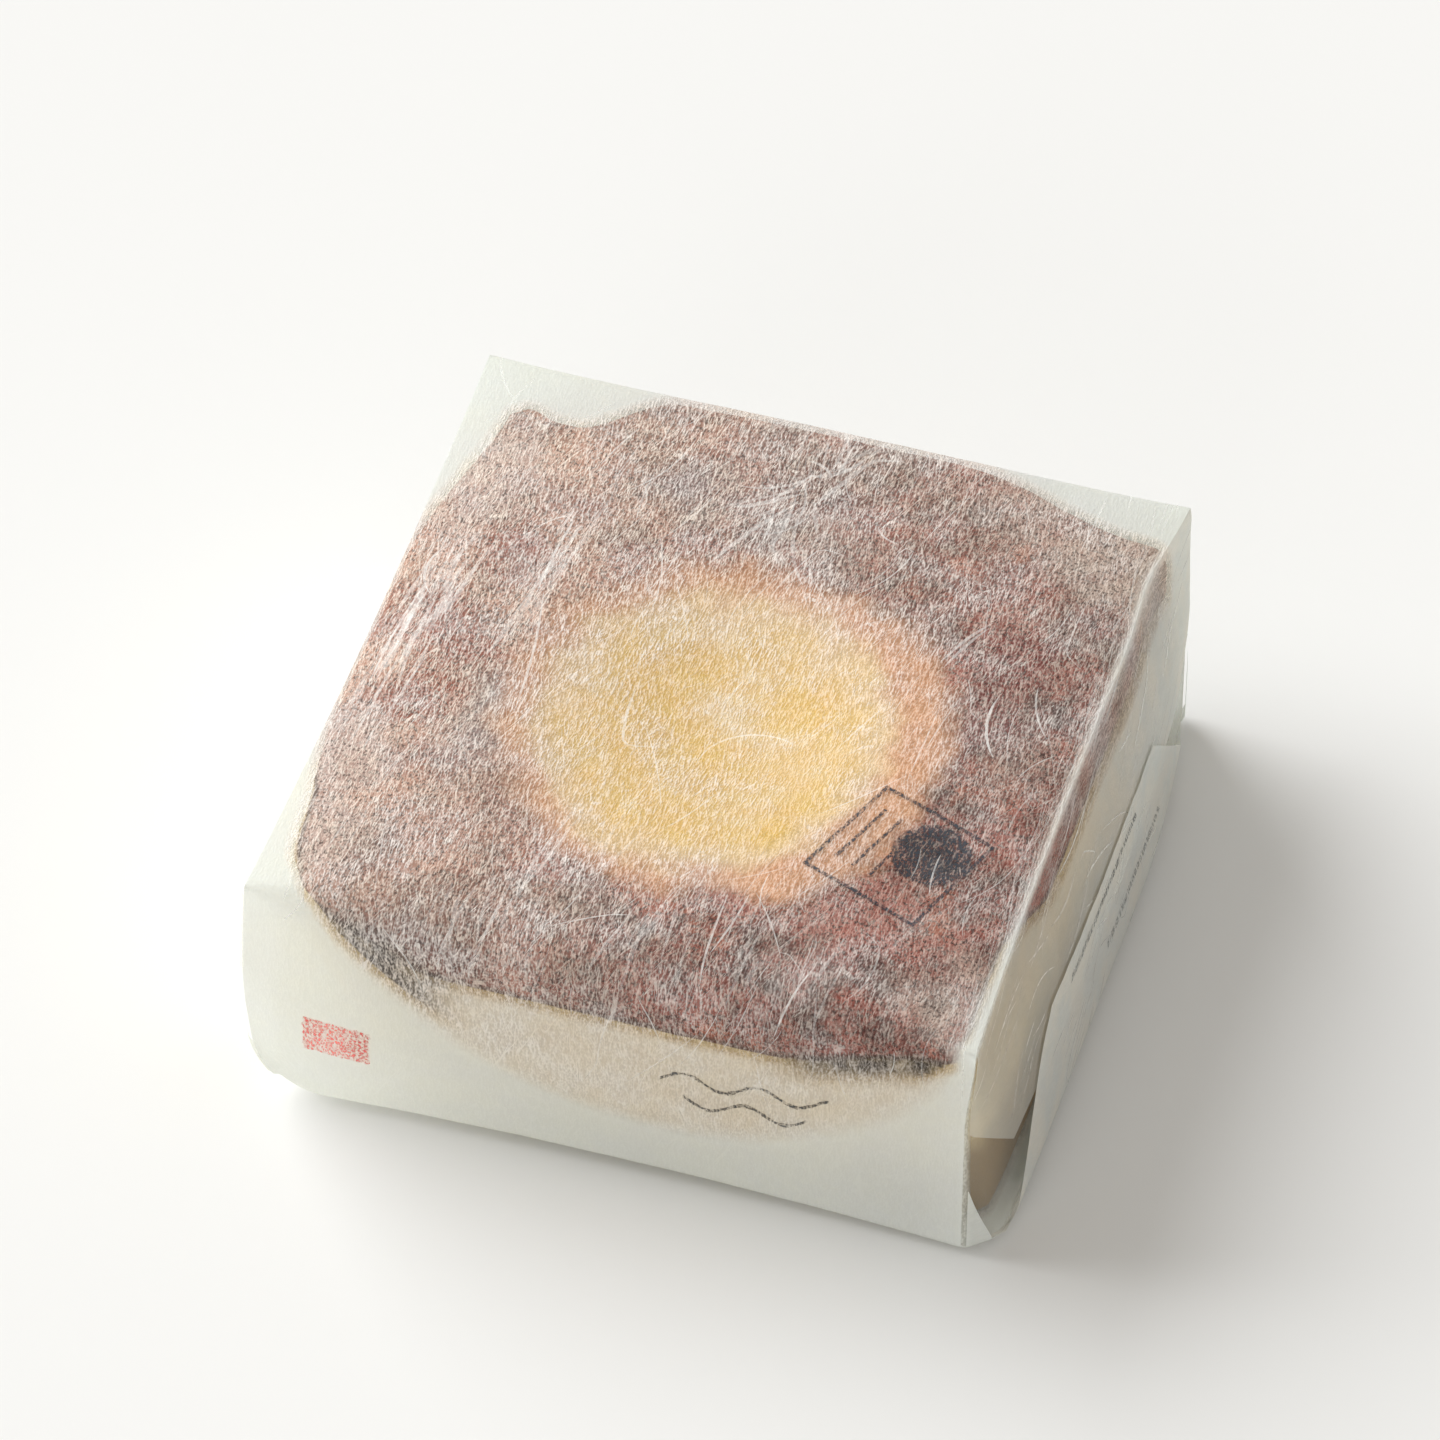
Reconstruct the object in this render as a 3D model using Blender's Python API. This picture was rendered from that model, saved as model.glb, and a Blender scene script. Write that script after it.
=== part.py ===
"""Square castella wrapped in one sheet of soft paper, modelled as a single closed solid.

The cake is folded into its paper like a caramel. The sheet runs over the front, top and back, laps
under the base, and closes each end with two side tabs, a top flap and a bottom flap. Nothing of the
cake is free to move, so paper, trapped air and cake are one body with the outer form of the pack.

Units are metres, +Z is up, +X is the pack's right end and -Y its front. The pack stands on the
XY plane with the middle of its box at the origin.
"""
from math import cos, exp, pi, sin

import bmesh
import bpy
from mathutils import Vector

NAME = "wrapped_castella"

# Driving dimensions of the pack
WIDTH = 0.100            # between the corners of the two end creases, along X
DEPTH = 0.105            # front to back, along Y
HEIGHT = 0.0398          # from the base to the four top corners
HALF_WIDTH = WIDTH / 2
HALF_DEPTH = DEPTH / 2

# Mesh density, as faces along each side of the box
COLUMNS = 24
ROWS = 24
TIERS = 12
EDGE_GRADING = 0.65      # 0 spreads the faces evenly, 1 crowds them towards the creases

# Radii where the sheet turns from one side of the box to the next
FRONT_TOP_RADIUS = 0.0065
BACK_TOP_RADIUS = 0.0030
LEFT_BASE_RADIUS = 0.0105
LONG_BASE_RADIUS = 0.0018
RIGHT_BASE_RADIUS = 0.0015

# Top: the sheet rises over the rim of the cake and sinks over its soft middle
TOP_RISE = 0.0013
RISE_AT_LONG_EDGES = 0.6  # share of the rise that is lost at the front and back edges
PLATEAU_POWER = 4        # keeps the top level until near its edges
MIDDLE_SAG = 0.0024
MIDDLE_SPREAD = 0.021
MIDDLE_X = 0.0020
MIDDLE_Y = -0.0010

# End creases, bowed inwards along the top
RIGHT_BOW = 0.0012
LEFT_BOW = 0.0009
EAR_TUCK = 0.0011        # extra tuck of the right crease beside the cake's back corner
EAR_PLACE = 0.72
EAR_SPREAD = 0.18

# Ends, which swell below their creases
RIGHT_WAIST = 0.0026     # swelling half way down
RIGHT_FLARE = 0.0041     # swelling of the loose bottom flap, near the base
FLARE_TOP = 0.55         # share of the height where the flare starts to grow
FLARE_FRONT_RUN = 0.0050
FLARE_BACK_RUN = 0.036
LEFT_WAIST = 0.0023
FULL_DEPTH = 0.5         # share of the height over which an end fills out below its crease
FRONT_RIGHT_TAPER = 0.0012
RIGHT_TAPER_DEPTH = 0.4
FRONT_LEFT_BELLY = 0.0007
FRONT_LEFT_TAPER = 0.0014
LEFT_TAPER_TOP = 0.6
CORNER_POWER = 12        # how closely the tapers keep to the front corners

# Long sides
FRONT_BELLY = 0.0009
FRONT_TUCK = 0.0009      # how far the foot of the front draws back in its middle
BACK_BELLY = 0.0013
FACE_POWER = 8           # how closely a side's own shape keeps to that side of the box

# Base: flat in the middle, raised a little all round
BASE_LIFT = 0.0014
LIFT_START = 0.66
CORNER_LIFT_SHARE = 0.2  # of the base lift, kept at the corners and along the ends
LAP_THICKNESS = 0.0003   # outer layer of the lapped sheet, on which the pack rests
LAP_FRONT = -0.038
LAP_BACK = 0.014
LAP_HALF_LENGTH = 0.040

# Flaps that close the ends
SHEET_STEP = 0.0005      # how far one layer of folded sheet stands above the one below
FREE_EDGE_LIFT = 0.0007  # further lift of the bottom flap's free edge
TOP_FLAP_START = 0.0008  # from the end crease down to where the top flap leaves it
TOP_FLAP_DROP = 0.0270
GUSSET_DROP = 0.0150     # depth at the front and back creases where the top flap starts to narrow
TOP_FLAP_INSET = 0.0006
RIGHT_FLAP_START = 0.0017  # height at which the bottom flap leaves the foot of the end
LEFT_FLAP_START = 0.0055
BOTTOM_FLAP_RISE = 0.0215
BOTTOM_FLAP_INSET = 0.0030
FLAP_SLOPE = 1.0         # the sides of both flaps are folded at 45 degrees
FLAP_COLUMNS = ROWS      # so that a flap's facets follow those of the end under it
FLAP_TIERS = 6
FIRST_TIER = 0.014       # share of a flap's height over which it leaves its crease
FLAP_ROOT = 0.0035       # how deep a flap is sunk into the pack

LEFT, RIGHT = -1, 1
SAME_PLACE = 1e-6

# Thin soft paper with the crust showing through
PAPER_COLOUR = (0.60, 0.53, 0.46, 1.0)
PAPER_ROUGHNESS = 0.85


def smooth(share):
    """Eases from 0 to 1 as share goes from 0 to 1."""
    share = min(max(share, 0.0), 1.0)
    return share * share * (3 - 2 * share)


def graded(share):
    """Crowds even steps between -1 and 1 towards both ends."""
    return (1 - EDGE_GRADING) * share + EDGE_GRADING * sin(share * pi / 2)


def round_edge(first, second, radius):
    """Turns the square corner between two faces into an arc.

    first and second are a point's depths under the two faces; the new depths are returned.
    """
    shallow = min(first, second)
    inner_radius = radius - shallow
    reach = max(first, second) - shallow
    if inner_radius <= 0 or reach >= inner_radius:
        return first, second
    swing = (1 - reach / inner_radius) * pi / 4
    near = shallow + inner_radius * (1 - cos(swing))
    far = shallow + inner_radius * (1 - sin(swing))
    return (near, far) if first <= second else (far, near)


def round_creases(x, y, z):
    """Rounds the edges of the plain box: the long top edges, both end edges of the base and its feet."""
    over_cake = 1 - (x / HALF_WIDTH) ** PLATEAU_POWER
    if y < 0:
        above, behind = round_edge(HEIGHT - z, y + HALF_DEPTH, FRONT_TOP_RADIUS * over_cake)
        z, y = HEIGHT - above, behind - HALF_DEPTH
        above, behind = round_edge(z, y + HALF_DEPTH, LONG_BASE_RADIUS)
        z, y = above, behind - HALF_DEPTH
    else:
        above, behind = round_edge(HEIGHT - z, HALF_DEPTH - y, BACK_TOP_RADIUS * over_cake)
        z, y = HEIGHT - above, HALF_DEPTH - behind
        above, behind = round_edge(z, HALF_DEPTH - y, LONG_BASE_RADIUS)
        z, y = above, HALF_DEPTH - behind
    if x < 0:
        above, inside = round_edge(z, x + HALF_WIDTH, LEFT_BASE_RADIUS)
        z, x = above, inside - HALF_WIDTH
    else:
        above, inside = round_edge(z, HALF_WIDTH - x, RIGHT_BASE_RADIUS)
        z, x = above, HALF_WIDTH - inside
    return x, y, z


def top_rise(x, y):
    """Height of the top sheet above the plane of its corners."""
    across = 1 - (x / HALF_WIDTH) ** PLATEAU_POWER
    along = 1 - RISE_AT_LONG_EDGES * (y / HALF_DEPTH) ** PLATEAU_POWER
    distance_squared = (x - MIDDLE_X) ** 2 + (y - MIDDLE_Y) ** 2
    sag = MIDDLE_SAG * exp(-distance_squared / MIDDLE_SPREAD ** 2)
    return TOP_RISE * across * along - sag


def right_end_shift(v, w):
    """Outward shift of the right end. v runs -1 to 1 from front to back, w 0 to 1 from base to top."""
    arch = 1 - v * v
    bow = RIGHT_BOW * arch + EAR_TUCK * exp(-((v - EAR_PLACE) / EAR_SPREAD) ** 2)
    fullness = smooth((1 - w) / FULL_DEPTH)
    front_run = smooth((1 + v) * HALF_DEPTH / FLARE_FRONT_RUN)
    back_run = smooth((1 - v) * HALF_DEPTH / FLARE_BACK_RUN)
    flare = (RIGHT_FLARE - RIGHT_WAIST * arch ** 0.5) * smooth(1 - w / FLARE_TOP)
    front_corner = max(0.0, -v) ** CORNER_POWER
    taper = FRONT_RIGHT_TAPER * smooth((1 - w) / RIGHT_TAPER_DEPTH) * front_corner
    waist = RIGHT_WAIST * arch ** 0.5 * fullness
    return waist + flare * front_run * back_run - bow * (1 - fullness) - taper


def left_end_shift(v, w):
    """Outward shift of the left end, which is rounder and has no loose flap."""
    arch = 1 - v * v
    fullness = smooth((1 - w) / FULL_DEPTH)
    front_corner = max(0.0, -v) ** CORNER_POWER
    belly = FRONT_LEFT_BELLY * sin(pi * w) - FRONT_LEFT_TAPER * smooth(1 - w / LEFT_TAPER_TOP)
    return LEFT_WAIST * arch ** 0.5 * fullness - LEFT_BOW * arch * (1 - fullness) + belly * front_corner


def form(x, y, z):
    """Takes a point of the plain box, or of its inside, to its place in the wrapped pack."""
    x, y, z = round_creases(x, y, z)
    u, v, w = x / HALF_WIDTH, y / HALF_DEPTH, z / HEIGHT
    end_shift = right_end_shift(v, w) if u > 0 else left_end_shift(v, w)
    across = 1 - u * u
    fullness = smooth(w / FULL_DEPTH)
    if v < 0:
        side_shift = (FRONT_TUCK * (1 - fullness) - FRONT_BELLY * fullness) * across
    else:
        side_shift = BACK_BELLY * fullness * across
    raised = smooth((abs(v) - LIFT_START) / (1 - LIFT_START))
    raised_ends = smooth((abs(u) - LIFT_START) / (1 - LIFT_START))
    middle_share = CORNER_LIFT_SHARE + (1 - CORNER_LIFT_SHARE) * across
    raised_share = max(raised * middle_share, CORNER_LIFT_SHARE * raised_ends)
    lift = BASE_LIFT * raised_share * (1 - w) ** PLATEAU_POWER
    return Vector((
        x + (RIGHT if u > 0 else LEFT) * end_shift * abs(u) ** FACE_POWER,
        y + side_shift * abs(v) ** FACE_POWER,
        z + top_rise(x, y) * w ** PLATEAU_POWER + lift))


def new_object(name, mesh_builder, collection):
    """Puts a finished bmesh into a named object of a collection."""
    mesh = bpy.data.meshes.new(name)
    mesh_builder.to_mesh(mesh)
    mesh_builder.free()
    piece = bpy.data.objects.new(name, mesh)
    collection.objects.link(piece)
    return piece


def cut_along(builder, axis, cuts):
    """Cuts every edge of a box that runs along one axis into even pieces."""
    others = [other for other in range(3) if other != axis]
    edges = [
        edge for edge in builder.edges
        if all(abs(edge.verts[0].co[other] - edge.verts[1].co[other]) < SAME_PLACE for other in others)]
    bmesh.ops.subdivide_edges(builder, edges=edges, cuts=cuts, use_grid_fill=True)


def wrapped_body(collection):
    """The pack itself: a cube cut into a fine grid and formed by the folds of the sheet."""
    builder = bmesh.new()
    bmesh.ops.create_cube(builder, size=2.0)
    for axis, faces in enumerate((COLUMNS, ROWS, TIERS)):
        cut_along(builder, axis, faces - 1)
    for vert in builder.verts:
        x, y, z = (graded(value) for value in vert.co)
        vert.co = form(x * HALF_WIDTH, y * HALF_DEPTH, (z + 1) / 2 * HEIGHT)
    return new_object(NAME, builder, collection)


def folded_flap(name, side, outline, lift, collection):
    """A flap of folded sheet on one end, as a low plate rooted in the pack.

    outline takes shares along the flap and away from its crease to a place Y, Z on that end; lift gives
    how far the flap stands off the tabs below it at a share of its height.
    """
    builder = bmesh.new()
    bmesh.ops.create_grid(builder, x_segments=FLAP_COLUMNS, y_segments=FLAP_TIERS, size=0.5)
    for vert in builder.verts:
        along, away = vert.co.x + 0.5, from_crease(vert.co.y + 0.5)
        y, z = outline(side, along, away)
        vert.co = form(side * HALF_WIDTH, y, z)
        vert.co.x += side * lift(away)
    sunk = bmesh.ops.extrude_face_region(builder, geom=builder.faces[:])
    sunk_verts = [item for item in sunk["geom"] if isinstance(item, bmesh.types.BMVert)]
    bmesh.ops.translate(builder, verts=sunk_verts, vec=(-side * FLAP_ROOT, 0, 0))
    bmesh.ops.recalc_face_normals(builder, faces=builder.faces)
    return new_object(name, builder, collection)


def from_crease(share):
    """Makes the first tier of a flap a narrow one, beside its crease, and the others even."""
    return max(0.0, share - 1 / FLAP_TIERS) * (1 - FIRST_TIER) / (1 - 1 / FLAP_TIERS) + min(
        share * FLAP_TIERS, 1.0) * FIRST_TIER


def narrowed(along, inset):
    """Place Y of a point on a flap whose two sides draw in from the creases by an inset."""
    return graded(2 * along - 1) * (HALF_DEPTH - inset)


def top_flap_outline(_side, along, away):
    """The top flap hangs from the end crease and narrows below the gussets."""
    drop = TOP_FLAP_START + away * (TOP_FLAP_DROP - TOP_FLAP_START)
    inset = TOP_FLAP_INSET + max(0.0, drop - GUSSET_DROP) * FLAP_SLOPE
    return narrowed(along, inset), HEIGHT - drop


def top_flap_lift(away):
    """The top flap leaves the crease flush and stands a full step off from a little below it."""
    return -SHEET_STEP + 2 * SHEET_STEP * smooth(away / FIRST_TIER)


def bottom_flap_outline(side, along, away):
    """The bottom flap comes up from the base and narrows all the way."""
    start = RIGHT_FLAP_START if side == RIGHT else LEFT_FLAP_START
    rise = start + away * (BOTTOM_FLAP_RISE - start)
    return narrowed(along, BOTTOM_FLAP_INSET + rise * FLAP_SLOPE), rise


def bottom_flap_lift(away):
    """The bottom flap crosses the top flap two steps off, and its free edge springs out further."""
    return -SHEET_STEP + 3 * SHEET_STEP * smooth(away / FIRST_TIER) + FREE_EDGE_LIFT * away ** 2


def base_lap(collection):
    """The outer layer of the sheet where its two edges lap under the base."""
    builder = bmesh.new()
    bmesh.ops.create_cube(builder, size=1.0)
    depth = LAP_BACK - LAP_FRONT
    middle = (LAP_BACK + LAP_FRONT) / 2
    bmesh.ops.scale(builder, verts=builder.verts, vec=(2 * LAP_HALF_LENGTH, depth, 4 * LAP_THICKNESS))
    bmesh.ops.translate(builder, verts=builder.verts, vec=(0, middle, LAP_THICKNESS))
    return new_object("base_lap", builder, collection)


def unite(body, pieces):
    """Joins a collection of pieces to the body with one exact union, then removes them."""
    union = body.modifiers.new("Folded sheet", "BOOLEAN")
    union.operation = "UNION"
    union.operand_type = "COLLECTION"
    union.collection = pieces
    union.solver = "EXACT"
    bpy.context.view_layer.update()
    united = bpy.data.meshes.new_from_object(body.evaluated_get(bpy.context.evaluated_depsgraph_get()))
    body.modifiers.clear()
    plain = body.data
    body.data = united
    bpy.data.meshes.remove(plain)
    for piece in list(pieces.objects):
        bpy.data.objects.remove(piece)
    bpy.data.collections.remove(pieces)


def stand_on_origin(body):
    """Moves the mesh so that its box stands on the XY plane around the origin."""
    places = [vert.co for vert in body.data.vertices]
    low = Vector(min(place[axis] for place in places) for axis in range(3))
    high = Vector(max(place[axis] for place in places) for axis in range(3))
    shift = Vector((-(low.x + high.x) / 2, -(low.y + high.y) / 2, -low.z))
    for vert in body.data.vertices:
        vert.co += shift


def paper():
    """Matt, warm white paper, dulled by the crust behind it."""
    material = bpy.data.materials.new("washi_paper")
    material.use_nodes = True
    shader = material.node_tree.nodes["Principled BSDF"]
    shader.inputs["Base Color"].default_value = PAPER_COLOUR
    shader.inputs["Roughness"].default_value = PAPER_ROUGHNESS
    shader.inputs["Metallic"].default_value = 0.0
    return material


def clear_scene():
    """Removes whatever the scene holds."""
    for item in list(bpy.data.objects):
        bpy.data.objects.remove(item)


def new_collection(name):
    """A collection linked into the scene."""
    collection = bpy.data.collections.new(name)
    bpy.context.scene.collection.children.link(collection)
    return collection


def build():
    """Builds the pack."""
    clear_scene()
    body = wrapped_body(new_collection(NAME))
    folds = new_collection("folds")
    for side, end in ((LEFT, "left"), (RIGHT, "right")):
        folded_flap(f"{end}_top_flap", side, top_flap_outline, top_flap_lift, folds)
        folded_flap(f"{end}_bottom_flap", side, bottom_flap_outline, bottom_flap_lift, folds)
    base_lap(folds)
    unite(body, folds)
    stand_on_origin(body)
    body.data.materials.clear()
    body.data.materials.append(paper())


build()
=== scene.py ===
"""Looks of the wrapped lemon castella: a square cake folded into one sheet of soft, see-through paper.

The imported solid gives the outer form. Here the same form carries a real sheet with its folded ends, the
cake inside it, long loose fibres and plain printed marks. Units are metres, +Z is up, +X is the pack's
right end and -Y its front.
"""

import logging
import math
import random
from abc import ABC, abstractmethod
from dataclasses import dataclass, replace
from enum import Enum
from typing import Any

import bmesh
import bpy
from mathutils import Matrix, Vector, noise
from mathutils.bvhtree import BVHTree


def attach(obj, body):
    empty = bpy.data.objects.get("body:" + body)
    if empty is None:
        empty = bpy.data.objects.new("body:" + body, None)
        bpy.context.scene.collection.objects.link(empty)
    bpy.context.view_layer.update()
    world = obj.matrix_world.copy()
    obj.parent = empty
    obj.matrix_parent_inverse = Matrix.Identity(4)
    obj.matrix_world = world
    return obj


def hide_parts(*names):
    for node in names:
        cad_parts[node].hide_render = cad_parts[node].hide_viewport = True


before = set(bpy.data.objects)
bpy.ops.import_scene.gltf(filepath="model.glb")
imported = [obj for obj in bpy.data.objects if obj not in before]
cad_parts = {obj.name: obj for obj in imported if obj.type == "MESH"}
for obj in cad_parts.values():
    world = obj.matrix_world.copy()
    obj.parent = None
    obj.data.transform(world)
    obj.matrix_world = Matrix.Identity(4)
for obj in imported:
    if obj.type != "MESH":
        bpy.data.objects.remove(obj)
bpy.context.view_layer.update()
MM = 1000.0
TINY = 1e-6

LOG = logging.getLogger("castella")
NODE = "wrapped_castella"
BODY = "root"
SHEET_UV = "sheet"
PRINT_UV = "print"

Colour = tuple[float, float, float]
Socket = bpy.types.NodeSocket


class End(Enum):
    """The two folded ends of the pack."""

    LEFT = -1
    RIGHT = 1


class Face(Enum):
    """The two long sides of the pack."""

    FRONT = -1
    BACK = 1


class Slot(Enum):
    """Material slots of the record."""

    PAPER = "paper"
    CRUST = "crust"
    FIBRE = "fibre"
    INK = "ink"


def smooth(share: float) -> float:
    """Eases from 0 to 1 as share goes from 0 to 1."""
    share = min(max(share, 0.0), 1.0)
    return share * share * (3 - 2 * share)


def hump(place: float, middle: float, spread: float) -> float:
    """A soft bump of height 1 about a middle."""
    return math.exp(-((place - middle) / spread) ** 2)


def round_edge(first: float, second: float, radius: float) -> tuple[float, float]:
    """Turns the square corner between two faces into an arc.

    Args:
        first: Depth of a point under one face.
        second: Its depth under the other face.
        radius: Radius of the arc.

    Returns:
        The two depths after rounding.
    """
    shallow = min(first, second)
    inner_radius = radius - shallow
    reach = max(first, second) - shallow
    if inner_radius <= 0 or reach >= inner_radius:
        return first, second
    swing = (1 - reach / inner_radius) * math.pi / 4
    near = shallow + inner_radius * (1 - math.cos(swing))
    far = shallow + inner_radius * (1 - math.sin(swing))
    return (near, far) if first <= second else (far, near)


@dataclass(frozen=True)
class PackForm:
    """Outer form of the wrapped pack, with the sizes of its solid."""

    width: float = 0.100
    depth: float = 0.105
    height: float = 0.0398
    front_top_radius: float = 0.0065
    back_top_radius: float = 0.0030
    left_base_radius: float = 0.0105
    long_base_radius: float = 0.0018
    right_base_radius: float = 0.0015
    top_rise: float = 0.0013
    rise_at_long_edges: float = 0.6
    plateau_power: int = 4
    middle_sag: float = 0.0024
    middle_spread: float = 0.021
    middle_x: float = 0.0020
    middle_y: float = -0.0010
    right_bow: float = 0.0012
    left_bow: float = 0.0009
    ear_tuck: float = 0.0011
    ear_place: float = 0.72
    ear_spread: float = 0.18
    right_waist: float = 0.0026
    right_flare: float = 0.0041
    flare_top: float = 0.55
    flare_front_run: float = 0.0050
    flare_back_run: float = 0.036
    left_waist: float = 0.0023
    full_depth: float = 0.5
    front_right_taper: float = 0.0012
    right_taper_depth: float = 0.4
    front_left_belly: float = 0.0007
    front_left_taper: float = 0.0014
    left_taper_top: float = 0.6
    corner_power: int = 12
    front_belly: float = 0.0009
    front_tuck: float = 0.0009
    back_belly: float = 0.0013
    face_power: int = 8
    base_lift: float = 0.0014
    lift_start: float = 0.66
    corner_lift_share: float = 0.2
    standing: tuple[float, float, float] = (-0.000522, -0.0002, 0.0003)

    @property
    def half_width(self) -> float:
        """Half the width between the end creases."""
        return self.width / 2

    @property
    def half_depth(self) -> float:
        """Half the depth from front to back."""
        return self.depth / 2

    def rounded(self, x: float, y: float, z: float) -> tuple[float, float, float]:
        """Rounds the edges of the plain box where the sheet turns.

        Args:
            x: Place along the width.
            y: Place along the depth.
            z: Height over the base.

        Returns:
            The point with its edges rounded.
        """
        over_cake = 1 - (x / self.half_width) ** self.plateau_power
        face = Face.FRONT if y < 0 else Face.BACK
        radius = self.front_top_radius if face is Face.FRONT else self.back_top_radius
        above, behind = round_edge(self.height - z, self.half_depth - abs(y), radius * over_cake)
        above, behind = round_edge(self.height - above, behind, self.long_base_radius)
        z, y = above, face.value * (self.half_depth - behind)
        end = End.LEFT if x < 0 else End.RIGHT
        radius = self.left_base_radius if end is End.LEFT else self.right_base_radius
        above, inside = round_edge(z, self.half_width - abs(x), radius)
        return end.value * (self.half_width - inside), y, above

    def rise(self, x: float, y: float) -> float:
        """Height of the top sheet above the plane of its corners.

        Args:
            x: Place along the width.
            y: Place along the depth.

        Returns:
            The height in metres.
        """
        across = 1 - (x / self.half_width) ** self.plateau_power
        along = 1 - self.rise_at_long_edges * (y / self.half_depth) ** self.plateau_power
        distance_squared = (x - self.middle_x) ** 2 + (y - self.middle_y) ** 2
        sag = self.middle_sag * math.exp(-distance_squared / self.middle_spread ** 2)
        return self.top_rise * across * along - sag

    def end_shift(self, end: End, v: float, w: float) -> float:
        """Outward shift of an end.

        Args:
            end: Which end.
            v: -1 to 1 from front to back.
            w: 0 to 1 from base to top.

        Returns:
            The shift in metres.
        """
        arch = 1 - v * v
        fullness = smooth((1 - w) / self.full_depth)
        front_corner = max(0.0, -v) ** self.corner_power
        if end is End.LEFT:
            belly = self.front_left_belly * math.sin(math.pi * w)
            belly -= self.front_left_taper * smooth(1 - w / self.left_taper_top)
            waist = self.left_waist * arch ** 0.5 * fullness
            return waist - self.left_bow * arch * (1 - fullness) + belly * front_corner
        bow = self.right_bow * arch
        bow += self.ear_tuck * hump(v, self.ear_place, self.ear_spread)
        front_run = smooth((1 + v) * self.half_depth / self.flare_front_run)
        back_run = smooth((1 - v) * self.half_depth / self.flare_back_run)
        flare = (self.right_flare - self.right_waist * arch ** 0.5) * smooth(1 - w / self.flare_top)
        taper = self.front_right_taper * smooth((1 - w) / self.right_taper_depth) * front_corner
        waist = self.right_waist * arch ** 0.5 * fullness
        return waist + flare * front_run * back_run - bow * (1 - fullness) - taper

    def bulged(self, x: float, y: float, z: float, swelling: float = 1.0) -> Vector:
        """Gives a rounded point the soft swelling of the pack.

        Args:
            x: Place along the width.
            y: Place along the depth.
            z: Height over the base.
            swelling: Share of the ends' own swelling that the point follows.

        Returns:
            The place in the part's frame.
        """
        u, v, w = x / self.half_width, y / self.half_depth, z / self.height
        end = End.RIGHT if u > 0 else End.LEFT
        v_in = min(max(v, -1.0), 1.0)
        w_in = min(max(w, 0.0), 1.0)
        end_shift = self.end_shift(end, v_in, w_in) * swelling
        across = max(0.0, 1 - u * u)
        fullness = smooth(w / self.full_depth)
        side_shift = self.back_belly * fullness * across
        if v < 0:
            side_shift = (self.front_tuck * (1 - fullness) - self.front_belly * fullness) * across
        raised = smooth((abs(v) - self.lift_start) / (1 - self.lift_start))
        raised_ends = smooth((abs(u) - self.lift_start) / (1 - self.lift_start))
        middle_share = self.corner_lift_share + (1 - self.corner_lift_share) * across
        raised_share = max(raised * middle_share, self.corner_lift_share * raised_ends)
        lift = self.base_lift * raised_share * (1 - w_in) ** self.plateau_power
        place = Vector((
            x + end.value * end_shift * abs(u) ** self.face_power,
            y + side_shift * abs(v) ** self.face_power,
            z + self.rise(x, y) * w ** self.plateau_power + lift))
        return place + Vector(self.standing)

    def place(self, x: float, y: float, z: float) -> Vector:
        """Takes a point on the plain box to its place on the pack."""
        return self.bulged(*self.rounded(x, y, z))


@dataclass(frozen=True)
class Nap:
    """How one set of the paper's fibres lies: its turn in degrees, its stretch and its shift."""

    turn: float
    scale: tuple[float, float, float]
    shift: tuple[float, float, float] = (0, 0, 0)


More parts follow.
